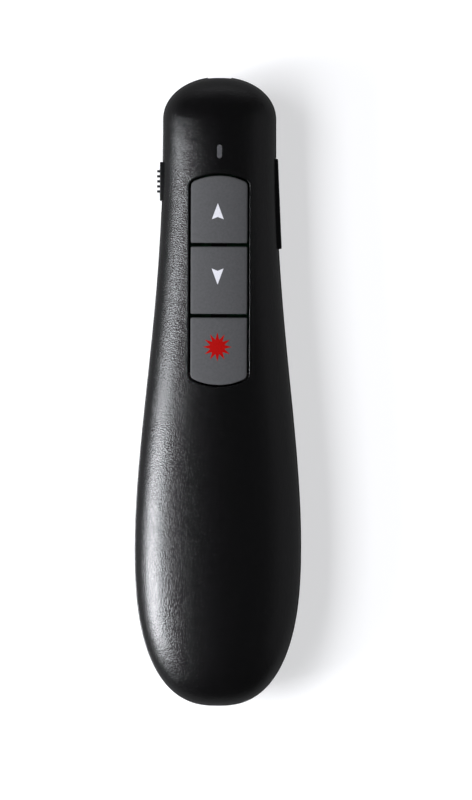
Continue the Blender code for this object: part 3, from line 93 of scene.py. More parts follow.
NOSE_STEPS = 26
MIDDLE_STEPS = 34
TAIL_STEPS = 34
ACROSS_STEPS = 72

# Keys
KEY_NAMES = ("page_up", "page_down", "laser")
KEY_HALF = 6.1 * MM
KEY_SIDE_GAP = 0.42 * MM
KEY_ARCH = 12.8 * MM
KEY_CORNER = 1.3 * MM
KEY_INNER_CORNER = 0.35 * MM
KEY_EDGE = 0.32 * MM
CORNER_SHRINK = 0.8 * KEY_EDGE
OPENING_EDGE = 0.3 * MM
OPENING_DEPTH = 3.4 * MM
ARC_STEPS = 28
CORNER_STEPS = 8
FILLET_STEPS = 5
TOP_RINGS = 10
PRINT_RISE = 0.012 * MM
PRINT_DEPTH = 0.05 * MM
PRINT_RINGS = 6

# Mesh tools
SOLVER = "MANIFOLD"
ROUND_SIDES = 64
SMOOTH_ANGLE = 35 * DEGREE
BEVEL_ANGLE = 40 * DEGREE
FACE_WEIGHT = 100

# Colours, as linear red, green and blue
CASE_BLACK = (0.0018, 0.0018, 0.002)
KEY_DARK = (0.064, 0.0645, 0.0665)
KEY_LIGHT = (0.074, 0.0745, 0.077)
CONTROL_BLACK = (0.004, 0.004, 0.0042)
WHITE_INK = (0.62, 0.62, 0.66)
RED_INK = (0.31, 0.0025, 0.002)
SMOKED_CLEAR = (0.085, 0.085, 0.09)
INNER_BLACK = (0.02, 0.02, 0.021)
BOARD_GREENS = {
    "Color1": (0.003, 0.018, 0.008),
    "Color2": (0.004, 0.022, 0.01),
    "Mortar": (0.006, 0.04, 0.017),
}
CHIP_BLACK = (0.013, 0.013, 0.013)
STEEL = (0.55, 0.55, 0.54)
# Painted shade: near-black for the board's screws, which show through the gaps between the keys.
SCREW_PAINTED_SHADE = (0.006, 0.006, 0.0065)
BRASS = (0.60, 0.42, 0.16)
LENS_GLASS = (0.75, 0.8, 0.85)
WHITE_PLASTIC = (0.7, 0.7, 0.68)
CELL_STEEL = (0.6, 0.6, 0.59)
CELL_JACKET = (0.02, 0.021, 0.025)
CELL_BAND = (0.36, 0.2, 0.05)
TABLE_WHITE = (0.7, 0.7, 0.7)
TABLE_MIRRORED = (0.08, 0.08, 0.08)
WHITE = (1, 1, 1)

# Grain, patches and relief in the materials
GRAIN = 0.32 * MM
FINE_GRAIN = 0.16 * MM
GRAIN_RISE = 0.035 * MM
GLOSS_PATCH = 1.92 * MM
KEY_MOTTLE = 0.5 * MM
KEY_RISE = 0.012 * MM
CONTROL_RISE = 0.014 * MM
WIDE_PATCH = 2 * MM
INK_PATCH = 0.25 * MM
INK_RISE = 0.008 * MM
SMALL_PATCH = 0.2 * MM
INNER_RISE = 0.015 * MM
TRACK_PITCH = 6 * MM
TRACK_RISE = 0.03 * MM
CHIP_GRAIN = 0.12 * MM
CHIP_RISE = 0.02 * MM
STEEL_PATCH = 0.7 * MM
STEEL_RISE = 0.004 * MM
SCREW_SHADE_PATCH = 0.5 * MM
TOOL_RING_PITCH = 2 * MM
TOOL_RING_RISE = 0.006 * MM
WHITE_PATCH = 0.6 * MM
MATT_SPECULAR = 0.15
MID_SHARES = (0.3, 0.7)
PIT_SHARES = (0.42, 0.75)
FINE_SHARE = 0.25
INK_THIN_SHARE = 0.86
TRACK_SHARE = 0.03
CELL_SHARES = [(0, CELL_STEEL), (0.035, CELL_JACKET), (0.72, CELL_BAND), (0.965, CELL_STEEL)]
JACKET_HALF_SHARE = 0.465

# Case openings, battery door and screws
SLIDER_TRAVEL = 2.2 * MM
SLIDER_SEAT = 0.4 * MM
SIDE_GAP = 0.25 * MM
SEAT_ROUND = 0.2 * MM
OVERRUN = 1 * MM
LIGHT_MIDDLE = CASE_LENGTH / 2 - 16.25 * MM
LIGHT_HALF = 0.5 * MM
LIGHT_LENGTH = 2.85 * MM
LIGHT_GAP = 0.06 * MM
LIGHT_EDGE = 0.06 * MM
BAY_WALL = 1 * MM
DOOR_GAP = 0.25 * MM
DOOR_CORNER = 0.5 * MM
DOOR_EDGE = 0.2 * MM
DOOR_THICK = 1.5 * MM
LEDGE_WIDTH = 0.75 * MM
LEDGE_LOW = WALL + 0.85 * MM
LEDGE_HIGH = LEDGE_LOW + 0.85 * MM
LATCH_PAST_EDGE = 0.7 * MM
TAB_PAST_EDGE = 2.2 * MM
TAB_LOW = WALL + SEAM
CATCH_HALF = 1.4 * MM
CATCH_THICK = 0.9 * MM
HEAD_CORNER = 0.5 * MM
SCREW_NAMES = ("front_left", "front_right", "rear_left", "rear_right")
WELL_RADIUS = 1.85 * MM
SCREW_BORE = 1.05 * MM
SCREW_SEAT_LEVEL = PARTING - 3 * MM
RIM_CLEARANCE = 0.15 * MM
GRIP_COUNT = 4
GRIP_PITCH = 1.5 * MM
GRIP_HALF = 4 * MM
GRIP_DEPTH = 0.35 * MM
DOOR_RIM = 1.2 * MM
GRIP_FROM_BACK = 3 * MM
GRIP_RADIUS = 0.6 * MM

# Parts of the keys, and the signs on them
FLANGE_THICK = 0.7 * MM
FLANGE_HALF = 4.6 * MM
KEY_WALL = 1.2 * MM
KEY_TOP = 1.2 * MM
POST_RADIUS = 1.5 * MM
POST_GAP = 0.05 * MM
SYMBOL_X = -0.3 * MM
SYMBOL_SHIFTS = {"page_up": -0.6 * MM, "page_down": 0.95 * MM, "laser": 0.93 * MM}
ARROW_HALF = 1.28 * MM
ARROW_TIP = 1.9 * MM
ARROW_BACK = 1.57 * MM
ARROW_NOTCH = 1.07 * MM
STAR_POINTS = 12
STAR_RADIUS = 3.13 * MM
STAR_INNER = 1.6 * MM
EDGE_STEPS = 6

# Slider and rocker
RIB_COUNT = 5
RIB_PITCH = 1.09 * MM
RIB_THICK = 0.5 * MM
RIB_STANDS = 0.6 * MM
RIB_SHORT = 0.3 * MM
RIB_ROUND = 0.1 * MM
SLIDER_ROUND = 0.18 * MM
NECK_HALF = 1.6 * MM
NECK_Z = (PARTING + 0.25 * MM, PARTING + 1.45 * MM)
ROCKER_PROUD_FRONT = 0.38 * MM
ROCKER_PROUD_REAR = 0.58 * MM
ROCKER_ROUND = 0.3 * MM
ROCKER_BACK_FROM_WALL = 2.9 * MM
LUG_RADIUS = 1.5 * MM
PIN_BORE = 0.65 * MM
NUB_STANDS = 0.65 * MM
NUB_REACH = 7 * MM
NUB_HALF = 0.9 * MM

# Nose ring and receiver
APERTURE_SEAT = 2 * MM
APERTURE_BORE = 1.6 * MM
APERTURE_WINDOW = 0.95 * MM
RING_ROUND = 0.4 * MM
RECEIVER_ROUND = 0.25 * MM
GROOVE_PITCH = 0.95 * MM
GROOVE_DEPTH = 0.18 * MM
GROOVE_RADIUS = 0.4 * MM
HALVINGS = 40
SHEET = 0.35 * MM
PLUG_WINDOW = 2.2 * MM
PLUG_WINDOW_X = 2.25 * MM
PLUG_WINDOW_Y = 5.2 * MM

# Table, lights and camera
PIXELS_PER_METRE = 4626
IMAGE_HEIGHT = 800
CAMERA_DISTANCE = 4
CAMERA_AIM = (3.78 * MM, -1.86 * MM)
CAMERA_TURN = 0.23 * DEGREE
FLOOR_HALF = 2
FLOOR_GAP = 0.05 * MM
TABLE_GLOW = 0.385
MIRRORED_GLOW = 0.05
WORLD_GLOW = 0.02
Lamp = namedtuple("Lamp", "name distance elevation azimuth shift length height radiance mirrored")
LAMPS = [
    Lamp("hot_panel", 0.35, 26, 0, -0.094, 0.212, 0.165, 17, True),
    Lamp("side_panel", 0.6, 46, 0, -0.15, 0.5, 0.36, 0.45, True),
    Lamp("bank", 0.7, 56, 0, 0, 0.6, 0.28, 6.5, False),
    Lamp("head_panel", 0.8, 5, 90, 0, 0.8, 0.25, 0.4, True),
    Lamp("fill", 1, 22, 180, 0, 1.2, 0.8, 0.12, True),
    Lamp("key_fill", 0.8, 50, 180, 0, 0.8, 0.4, 3.4, False),
]
LAMP_COLOUR = (0.95, 0.96, 1)


def from_nose(distance):
    """The Y of a place that is a distance behind the nose."""
    return CASE_LENGTH / 2 - distance


def end_share(gap, reach, power):
    """How full a section is at a gap from an end that rounds off over a reach: 0 at the tip, 1 past it."""
    left = min(max(1 - gap / reach, 0), 1)
    return (1 - left**power) ** (1 / power)


def swell_share(gap, start, end, power):
    """A smooth rise from 0 to 1 between two distances from the nose."""
    share = min(max((gap - start) / (end - start), 0), 1) ** power
    return share * share * (3 - 2 * share)


def size_at(profile, y, inset):
    """A profile's size at y, for a surface that lies an inset inside the outer one."""
    nose_gap = CASE_LENGTH / 2 - y
    tail_gap = CASE_LENGTH / 2 + y
    swell = swell_share(nose_gap, profile.swell_from, profile.swell_to, profile.swell_power)
    full = profile.neck + (profile.paddle - profile.neck) * swell - inset
    nose = end_share(nose_gap - inset, profile.nose_reach - inset, profile.nose_power)
    tail = end_share(tail_gap - inset, profile.tail_reach - inset, profile.tail_power)
    return full * nose * tail


def half_width(y, inset=0):
    return size_at(WIDTH, y, inset)


def height_at(half, x, y):
    """Height of a half's outer surface over the point (x, y), with the belly cut flat."""
    wide = min(abs(x) / half_width(y, half.inset), 1)
    rise = size_at(half.rise, y, half.inset) * (1 - wide**half.wide_power) ** (1 / half.tall_power)
    return max(half.level + half.way * rise, half.inset)


# Mesh tools


def placed(name, data):
    """An object of a mesh, light or camera, in the scene."""
    thing = bpy.data.objects.new(name, data)
    bpy.context.scene.collection.objects.link(thing)
    return thing


def add_object(name, mesh, material=None):
    """An object from a bmesh, with its faces turned outwards."""
    bmesh.ops.recalc_face_normals(mesh, faces=mesh.faces)
    data = bpy.data.meshes.new(name)
    mesh.to_mesh(data)
    mesh.free()
    if material:
        data.materials.append(material)
    return placed(name, data)


def smooth(thing):
    """Smooth shading, except at the sharp edges."""
    thing.data.shade_smooth()
    thing.data.set_sharp_from_angle(angle=SMOOTH_ANGLE)
    return thing


def apply_modifiers(thing):
    """Replaces an object's mesh by what its modifiers make of it."""
    graph = bpy.context.evaluated_depsgraph_get()
    data = bpy.data.meshes.new_from_object(thing.evaluated_get(graph), depsgraph=graph)
    old = thing.data
    thing.modifiers.clear()
    thing.data = data
    bpy.data.meshes.remove(old)
    return thing


def combine(target, tools, operation):
    """Boolean operations of an object with tools, which are removed."""
    for tool in tools:
        modifier = target.modifiers.new(operation, "BOOLEAN")
        modifier.operation = operation
        modifier.solver = SOLVER
        modifier.object = tool
    apply_modifiers(target)
    for tool in tools:
        bpy.data.objects.remove(tool, do_unlink=True)
    return target


def join(target, *tools):
    return combine(target, tools, "UNION")


def cut(target, *tools):
    return combine(target, tools, "DIFFERENCE")


def bevel(thing, width, segments=3):
    """Rounds the sharp edges of a piece."""
    modifier = thing.modifiers.new("edges", "BEVEL")
    modifier.width = width
    modifier.segments = segments
    modifier.limit_method = "ANGLE"
    modifier.angle_limit = BEVEL_ANGLE
    modifier.use_clamp_overlap = True
    return smooth(apply_modifiers(thing))


def shaded(thing):
    """Smooth shading that small faces don't draw off the large ones beside them."""
    modifier = smooth(thing).modifiers.new("normals", "WEIGHTED_NORMAL")
    modifier.keep_sharp = True
    modifier.weight = FACE_WEIGHT
    return thing


def face(mesh, *corners):
    """A face on the corners given, leaving out a corner that repeats."""
    distinct = list(dict.fromkeys(corners))
    if len(distinct) > 2:
        mesh.faces.new(distinct)


def bridge(mesh, loops):
    """Faces between each closed loop and the next one, which has as many points."""
    for first, second in zip(loops, loops[1:]):
        for i in range(len(first)):
            face(mesh, first[i - 1], first[i], second[i], second[i - 1])


def carried(piece, body, slot, *nodes):
    """Attaches a piece to the body it rides on and hides the CAD nodes it stands for. The slot is not used.
    """
    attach(piece, body)
    if nodes:
        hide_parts(*nodes)


def both_ways(half):
    return (-half, half)


def about(middle, half):
    return (middle - half, middle + half)


def grown(ends, gap):
    return (ends[0] - gap, ends[1] + gap)


def box(name, x, y, z, material=None):
    """A block between the low and high value on each axis."""
    mesh = bmesh.new()
    bmesh.ops.create_cube(mesh, size=1)
    bmesh.ops.scale(mesh, vec=(x[1] - x[0], y[1] - y[0], z[1] - z[0]), verts=mesh.verts)
    bmesh.ops.translate(mesh, vec=(sum(x) / 2, sum(y) / 2, sum(z) / 2), verts=mesh.verts)
    return add_object(name, mesh, material)


def prism(name, outline, z, material=None):
    """An outline of (x, y) points drawn up from one height to another."""
    return ringed(name, [[(x, y, level) for x, y in outline] for level in z], material)


def ringed(name, rings, material=None):
    """A closed body through rings of as many points, with a face on the first and on the last."""
    mesh = bmesh.new()
    loops = [[mesh.verts.new(point) for point in ring] for ring in rings]
    bridge(mesh, loops)
    mesh.faces.new(loops[0])
    mesh.faces.new(loops[-1])
    return add_object(name, mesh, material)


def lathe(name, profile, base, direction, material=None):
    """A profile of (radius, distance) points turned about an axis from a base point."""
    mesh = bmesh.new()
    turn = Vector(UP).rotation_difference(Vector(direction)).to_matrix()
    angles = [2 * math.pi * k / ROUND_SIDES for k in range(ROUND_SIDES)]
    rings = []
    for radius, along in profile:
        if radius == 0:
            rings.append([mesh.verts.new(Vector(base) + turn @ Vector((0, 0, along)))] * ROUND_SIDES)
            continue
        spots = [Vector((radius * math.cos(a), radius * math.sin(a), along)) for a in angles]
        rings.append([mesh.verts.new(Vector(base) + turn @ spot) for spot in spots])
    if profile[0][0] != 0:
        rings.append(rings[0])
    bridge(mesh, rings)
    return add_object(name, mesh, material)


def rod(name, radius, base, direction, length, material=None):
    profile = [(0, 0), (radius, 0), (radius, length), (0, length)]
    return lathe(name, profile, base, direction, material)


# Case surfaces


def quarter(steps):
    """Even angles from 0 to a right angle."""
    return [math.pi / 2 * i / steps for i in range(steps + 1)]


def stations(inset):
    """Places along the case for a surface at an inset, closer together where its ends round off."""
    nose, start, end = from_nose(inset), from_nose(NOSE_REACH), from_nose(SWELL_END)
    places = [nose - (NOSE_REACH - inset) * (1 - math.cos(a)) for a in quarter(NOSE_STEPS)[:-1]]
    places += [start + (end - start) * i / MIDDLE_STEPS for i in range(MIDDLE_STEPS)]
    return places + [end - (TAIL_REACH - inset) * math.sin(a) for a in quarter(TAIL_STEPS)]


def section_point(half, y, inset, k, edge_level):
    """Point k of a half's section at y, counted from its left edge to its right."""
    width = half_width(y, inset)
    if k in (0, ACROSS_STEPS):
        return (math.copysign(width, k - 1), y, edge_level)
    angle = math.pi * (k / ACROSS_STEPS - 1 / 2)
    x = width * math.copysign(abs(math.sin(angle)) ** (2 / half.wide_power), angle)
    rise = size_at(half.rise, y, inset) * math.cos(angle) ** (2 / half.tall_power)
    low, high = sorted((half.level + half.way * rise, edge_level))
    return (x, y, max(high if half.way == 1 else low, inset))


def skin(mesh, half, inset, edge_level):
    """Rows of points over a half's surface, from a pole at the nose to one at the tail, with faces."""
    rows = []
    places = stations(inset)
    for y in places:
        if y in (places[0], places[-1]):
            rows.append([mesh.verts.new((0, y, edge_level))] * (ACROSS_STEPS + 1))
            continue
        points = [section_point(half, y, inset, k, edge_level) for k in range(ACROSS_STEPS + 1)]
        rows.append([mesh.verts.new(point) for point in points])
    for first, second in zip(rows, rows[1:]):
        for k in range(ACROSS_STEPS):
            face(mesh, first[k], first[k + 1], second[k + 1], second[k])
    return rows


def edge(rows):
    """A skin's edge as a loop: back along the right side and forward along the left."""
    return [row[-1] for row in rows] + [row[0] for row in reversed(rows[1:-1])]


def outline_loop(mesh, inset, level):
    """The case's outline at an inset, in the order of a skin's edge."""
    places = stations(inset)
    right = [mesh.verts.new((half_width(y, inset), y, level)) for y in places]
    left = [mesh.verts.new((-half_width(y, inset), y, level)) for y in reversed(places[1:-1])]
    return right + left


def shell(name, half, step_face, wall, material):
    """Half of the case: its outer skin, a rounded and stepped rim, and its inner skin."""
    ledge = half.level + RIM_STEP
    steps = [(half.inset - grow, half.level + half.way * drop) for grow, drop in fillet(RIM_ROUND)]
    steps += [(step_face, half.level), (step_face, ledge), (wall, ledge)]
    mesh = bmesh.new()
    outer = skin(mesh, half, *steps[0])
    inner = skin(mesh, half, *steps[-1])
    rim = [outline_loop(mesh, *step) for step in steps[1:-1]]
    bridge(mesh, [edge(outer), *rim, edge(inner)])
    return add_object(name, mesh, material)


def lower_form(name, inset):
    """The space inside the lower half's surface at an inset: a tool that trims other shapes."""
    mesh = bmesh.new()
    rows = skin(mesh, LOWER, inset, LOWER.level)
    mesh.faces.new(edge(rows))
    return add_object(name, mesh)


# Outlines


def arc_points(centre, radius, start, end, steps):
    """Points on an arc, its ends included. Angles are from +Y towards +X."""
    angles = [start + (end - start) * i / steps for i in range(steps + 1)]
    return [(centre[0] + radius * math.sin(a), centre[1] + radius * math.cos(a)) for a in angles]


def arched_end(tip_y, half, arch, corner, way):
    """One end of a key, arched, with round corners, from left to right. Way is 1 at the front."""
    corner_x = half - corner
    arch_middle = tip_y - way * arch
    corner_y = arch_middle + way * math.sqrt((arch - corner) ** 2 - corner_x**2)
    turn = math.asin(corner_x / (arch - corner))
    left = arc_points((-corner_x, 0), corner, -math.pi / 2, -turn, CORNER_STEPS)
    top = arc_points((0, 0), arch, -turn, turn, ARC_STEPS)[1:-1]
    right = arc_points((corner_x, 0), corner, turn, math.pi / 2, CORNER_STEPS)
    parts = ((left, corner_y), (top, arch_middle), (right, corner_y))
    return [(x, level + way * y) for points, level in parts for x, y in points]


def divided(start, end, count):
    """Points between two places, with neither of them."""
    shares = [i / count for i in range(1, count)]
    return [tuple(a + (b - a) * share for a, b in zip(start, end)) for share in shares]


def square_end(tip_y, half, corner, way):
    """One end of a key, straight, with small round corners, from left to right."""
    left = arc_points((corner - half, 0), corner, -math.pi / 2, 0, CORNER_STEPS)
    right = arc_points((half - corner, 0), corner, 0, math.pi / 2, CORNER_STEPS)
    points = left + divided(left[-1], right[0], ARC_STEPS) + right
    return [(x, tip_y + way * (y - corner)) for x, y in points]


def with_sides(ends, count=ARC_STEPS):
    """A closed outline through open ones, with the straight sides between them divided."""
    outline = []
    for end, following in zip(ends, ends[1:] + ends[:1]):
        outline += end + divided(end[-1], following[0], count)
    return outline


# Places read from the frame


def ranges(node):
    """The low and high value of a node's box on X, Y and Z."""
    return list(zip(*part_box(node)))


def screw_places():
    """The X and Y of the case's screws."""
    boxes = [ranges(f"shell_screw_{name}") for name in SCREW_NAMES]
    return [(sum(x) / 2, sum(y) / 2) for x, y, _ in boxes]


def key_spans():
    """The Y of the back and front of each key's face, from the whole node's box."""
    return [ranges(f"key_{name}")[1] for name in KEY_NAMES]


# Outlines of the keys, the door and the light


def key_end(tip_y, grow, arched, way):
    """One end of a key, grown: arched at an end of the row of keys, straight between two of them."""
    half = KEY_HALF + grow
    if arched:
        return arched_end(tip_y, half, KEY_ARCH + grow, KEY_CORNER + grow, way)
    return square_end(tip_y, half, KEY_INNER_CORNER + max(grow, -CORNER_SHRINK), way)


def key_outline(spans, first, last, grow):
    """Outline from the front of one key to the back of another, grown on all sides."""
    front = key_end(spans[first][1] + grow, grow, first == 0, 1)
    back = key_end(spans[last][0] - grow, grow, last == len(KEY_NAMES) - 1, -1)
    return with_sides([front, back[::-1]])


def door_outline(x, y, grow):
    """A rectangle between the low and high value on X and Y, with round corners, grown on all sides."""
    turns = ((1, 1, 0), (1, -1, 1), (-1, -1, 2), (-1, 1, 3))
    arcs = []
    for way_x, way_y, quarters in turns:
        centre = (x[way_x > 0] - way_x * DOOR_CORNER, y[way_y > 0] - way_y * DOOR_CORNER)
        start = quarters * math.pi / 2
        arcs.append(arc_points(centre, DOOR_CORNER + grow, start, start + math.pi / 2, CORNER_STEPS))
    return with_sides(arcs)


def light_outline(grow):
    """The light window's slot along Y, with round ends, grown on all sides."""
    radius = LIGHT_HALF + grow
    reach = LIGHT_LENGTH / 2 - LIGHT_HALF
    front = arc_points((0, LIGHT_MIDDLE + reach), radius, -math.pi / 2, math.pi / 2, ARC_STEPS)
    back = arc_points((0, LIGHT_MIDDLE - reach), radius, math.pi / 2, 3 * math.pi / 2, ARC_STEPS)
    return front + back


# Pieces and cutters that follow a surface


def fillet(radius):
    """Steps of (grow, drop) round the edge of a piece's face, from its side to its top."""
    return [(-radius * (1 - math.cos(a)), radius * (1 - math.sin(a))) for a in quarter(FILLET_STEPS)]


def flared_cutter(name, outline_at, half, depth, radius):
    """A cutter for an opening in a half of the case, with flat ends. It leaves a rounded edge."""
    first = outline_at(0)
    start = half.way * (min(half.way * height_at(half, x, y) for x, y in first) - depth)
    rings = [[(x, y, start) for x, y in first]]
    for grow, drop in fillet(radius)[:-1]:
        rings.append([(x, y, height_at(half, x, y) - half.way * drop) for x, y in outline_at(-grow)])
    last = outline_at(radius)
    rings.append([(x, y, height_at(half, x, y)) for x, y in last])
    end = half.way * (max(half.way * height_at(half, x, y) for x, y in last) + OVERRUN)
    rings.append([(x, y, end) for x, y in last])
    return ringed(name, rings)


def pillow(name, outline_at, half, bottom, radius, material):
    """A piece whose face follows a half's surface in an outline, with a rounded edge and a flat back."""
    mesh = bmesh.new()
    loops = [[mesh.verts.new((x, y, bottom)) for x, y in outline_at(0)]]
    for grow, drop in fillet(radius):
        points = [(x, y, height_at(half, x, y) - half.way * drop) for x, y in outline_at(grow)]
        loops.append([mesh.verts.new(point) for point in points])
    rim = outline_at(-radius)
    middle = [sum(places) / len(rim) for places in zip(*rim)]
    for i in range(1, TOP_RINGS):
        share = 1 - i / TOP_RINGS
        points = [[m + (place - m) * share for place, m in zip(point, middle)] for point in rim]
        loops.append([mesh.verts.new((x, y, height_at(half, x, y))) for x, y in points])
    loops.append([mesh.verts.new((*middle, height_at(half, *middle)))] * len(rim))
    bridge(mesh, loops)
    mesh.faces.new(loops[0])
    return add_object(name, mesh, material)


# Materials


def shader_of(name, colour, roughness, metallic=0, specular=0.5):
    """A new material and its principled shader, with the values that are the same all over it."""
    material = bpy.data.materials.new(name)
    material.use_nodes = True
    shader = material.node_tree.nodes["Principled BSDF"]
    shader.inputs["Base Color"].default_value = (*colour, 1)
    shader.inputs["Roughness"].default_value = roughness
    shader.inputs["Metallic"].default_value = metallic
    shader.inputs["Specular IOR Level"].default_value = specular
    return material, shader


def add_node(material, kind, **values):
    """A node with its properties and its inputs' values set by name."""
    node = material.node_tree.nodes.new(f"ShaderNode{kind}")
    for key, value in values.items():
        if hasattr(node, key):
            setattr(node, key, value)
        else:
            node.inputs[key.replace("_", " ").title()].default_value = value
    return node


def link(source, target):
    source.id_data.links.new(source, target)


def place_of(material):
    """The socket that gives a point's place in the object, in metres."""
    return add_node(material, "TexCoord").outputs["Object"]


def noise(material, size, detail=2):
    """A noise with features of about a size in metres."""
    node = add_node(material, "TexNoise", scale=1 / size, detail=detail)
    link(place_of(material), node.inputs["Vector"])
    return node.outputs["Fac"]


def calculated(material, operation, *values):
    """A number worked out from sockets and plain numbers."""
    node = add_node(material, "Math", operation=operation)
    for socket, value in zip(node.inputs, values):
        if isinstance(value, (int, float)):
            socket.default_value = value
        else:
            link(value, socket)
    return node.outputs["Value"]


def spread(material, factor, low, high, between=MID_SHARES):
    """A number that runs from low to high as a factor runs between two values."""
    ends = {"from_min": between[0], "from_max": between[1], "to_min": low, "to_max": high}
    node = add_node(material, "MapRange", **ends)
    link(factor, node.inputs["Value"])
    return node.outputs["Result"]


def colour_spread(material, factor, low, high):
    """A colour that runs from low to high with a factor."""
    node = add_node(material, "ValToRGB")
    for element, place, colour in zip(node.color_ramp.elements, MID_SHARES, (low, high)):
        element.position = place
        element.color = (*colour, 1)
    link(factor, node.inputs["Fac"])
    return node.outputs["Color"]


def bump(material, shader, height, rise):
    """Relief of a height in metres on a shader."""
    node = add_node(material, "Bump", distance=rise, strength=1)
    link(height, node.inputs["Height"])
    link(node.outputs["Normal"], shader.inputs["Normal"])


def grain(material, shader, size, rise, detail=2):
    """Even relief with features of a size."""
    bump(material, shader, noise(material, size, detail), rise)


def vary_roughness(material, shader, size, low, high, detail=2):
    """Roughness that wanders between two values in patches of a size."""
    link(spread(material, noise(material, size, detail), low, high), shader.inputs["Roughness"])


def case_material():
    """Black plastic with a spark-eroded grain: pits, with a finer noise on them."""
    material, shader = shader_of("case_black", CASE_BLACK, roughness=0.25, specular=1)
    pits = spread(material, noise(material, GRAIN), 0, 1, PIT_SHARES)
    height = calculated(material, "MULTIPLY_ADD", noise(material, FINE_GRAIN), FINE_SHARE, pits)
    bump(material, shader, height, GRAIN_RISE)
    vary_roughness(material, shader, GLOSS_PATCH, 0.23, 0.26)
    return material


def key_material():
    """Matt grey plastic, faintly mottled."""
    material, shader = shader_of("key_grey", KEY_LIGHT, roughness=0.55, specular=MATT_SPECULAR)
    mottle = colour_spread(material, noise(material, KEY_MOTTLE), KEY_DARK, KEY_LIGHT)
    link(mottle, shader.inputs["Base Color"])
    grain(material, shader, FINE_GRAIN, KEY_RISE, detail=3)
    return material


def control_material():
    """Black plastic with a finer and duller grain than the case's."""
    material, shader = shader_of("control_black", CONTROL_BLACK, roughness=0.5)
    grain(material, shader, FINE_GRAIN, CONTROL_RISE, detail=3)
    vary_roughness(material, shader, WIDE_PATCH, 0.45, 0.58)
    return material


def print_material(name, colour):
    """Pad-printed ink, with a faint grain."""
    material, shader = shader_of(name, colour, roughness=0.5, specular=MATT_SPECULAR)
    thin = tuple(INK_THIN_SHARE * part for part in colour)
    link(colour_spread(material, noise(material, INK_PATCH), thin, colour), shader.inputs["Base Color"])
    grain(material, shader, FINE_GRAIN, INK_RISE)
    return material


def light_pipe_material():
    """Smoked, cloudy plastic."""
    material, shader = shader_of("smoked_clear", SMOKED_CLEAR, roughness=0.25)
    shader.inputs["Subsurface Weight"].default_value = 0.3
    shader.inputs["Subsurface Radius"].default_value = (MM, MM, MM)
    vary_roughness(material, shader, MM, 0.2, 0.35)
    return material


def inner_plastic_material():
    material, shader = shader_of("inner_plastic", INNER_BLACK, roughness=0.45)
    grain(material, shader, SMALL_PATCH, INNER_RISE, detail=3)
    return material


def board_material():
    """Green solder mask over faint tracks."""
    material, shader = shader_of("circuit_board", BOARD_GREENS["Color1"], roughness=0.35)
    tracks = add_node(material, "TexBrick", scale=1 / TRACK_PITCH, mortar_size=TRACK_SHARE)
    for key, colour in BOARD_GREENS.items():
        tracks.inputs[key].default_value = (*colour, 1)
    link(place_of(material), tracks.inputs["Vector"])
    link(tracks.outputs["Color"], shader.inputs["Base Color"])
    bump(material, shader, tracks.outputs["Fac"], -TRACK_RISE)
    return material


def chip_material():
    material, shader = shader_of("chip_black", CHIP_BLACK, roughness=0.6)
    grain(material, shader, CHIP_GRAIN, CHIP_RISE, detail=3)
    return material


def steel_material():
    material, shader = shader_of("plated_steel", STEEL, roughness=0.28, metallic=1)
    vary_roughness(material, shader, STEEL_PATCH, 0.22, 0.4, detail=4)
    grain(material, shader, SMALL_PATCH, STEEL_RISE)
    return material


def gap_shade_screw_material():
    """Near-black, for the board's screws: painted shade, so that a screw seen between the keys is as dark
    as the shade down in that gap.
    """
    material, shader = shader_of("screw_painted_shade", SCREW_PAINTED_SHADE, roughness=0.5, specular=0.3)
    vary_roughness(material, shader, SCREW_SHADE_PATCH, 0.4, 0.6, detail=4)
    return material


def brass_material():
    """Turned brass, with rings from the tool along its axis."""
    material, shader = shader_of("brass", BRASS, roughness=0.28, metallic=1)
    rings = add_node(
        material, "TexWave",
        wave_type="BANDS", bands_direction="Y", scale=1 / TOOL_RING_PITCH, distortion=0.4,
    )
    link(place_of(material), rings.inputs["Vector"])
    bump(material, shader, rings.outputs["Fac"], TOOL_RING_RISE)
    return material


def glass_material():
    material, shader = shader_of("lens_glass", LENS_GLASS, roughness=0.04)
    shader.inputs["Transmission Weight"].default_value = 0.9
    shader.inputs["IOR"].default_value = 1.5
    vary_roughness(material, shader, MM, 0.02, 0.07)
    return material


def white_plastic_material():
    material, shader = shader_of("white_plastic", WHITE_PLASTIC, roughness=0.45)
    vary_roughness(material, shader, WHITE_PATCH, 0.4, 0.55)
    return material


def cell_material(low_y, high_y):
    """A plain cell: a dark jacket with a pale band, between bare steel ends."""
    material, shader = shader_of("cell_jacket", CELL_JACKET, roughness=0.35)
    split = add_node(material, "SeparateXYZ")
    link(place_of(material), split.inputs["Vector"])
    along = spread(material, split.outputs["Y"], 0, 1, (low_y, high_y))
    bands = add_node(material, "ValToRGB")
    ramp = bands.color_ramp
    ramp.interpolation = "CONSTANT"
    while len(ramp.elements) < len(CELL_SHARES):
        ramp.elements.new(1)
    for element, (place, colour) in zip(ramp.elements, CELL_SHARES):
        element.position = place
        element.color = (*colour, 1)
    link(along, bands.inputs["Fac"])
    link(bands.outputs["Color"], shader.inputs["Base Color"])
    jacket = calculated(material, "COMPARE", along, 0.5, JACKET_HALF_SHARE)
    link(calculated(material, "SUBTRACT", 1, jacket), shader.inputs["Metallic"])
    return material


# The case


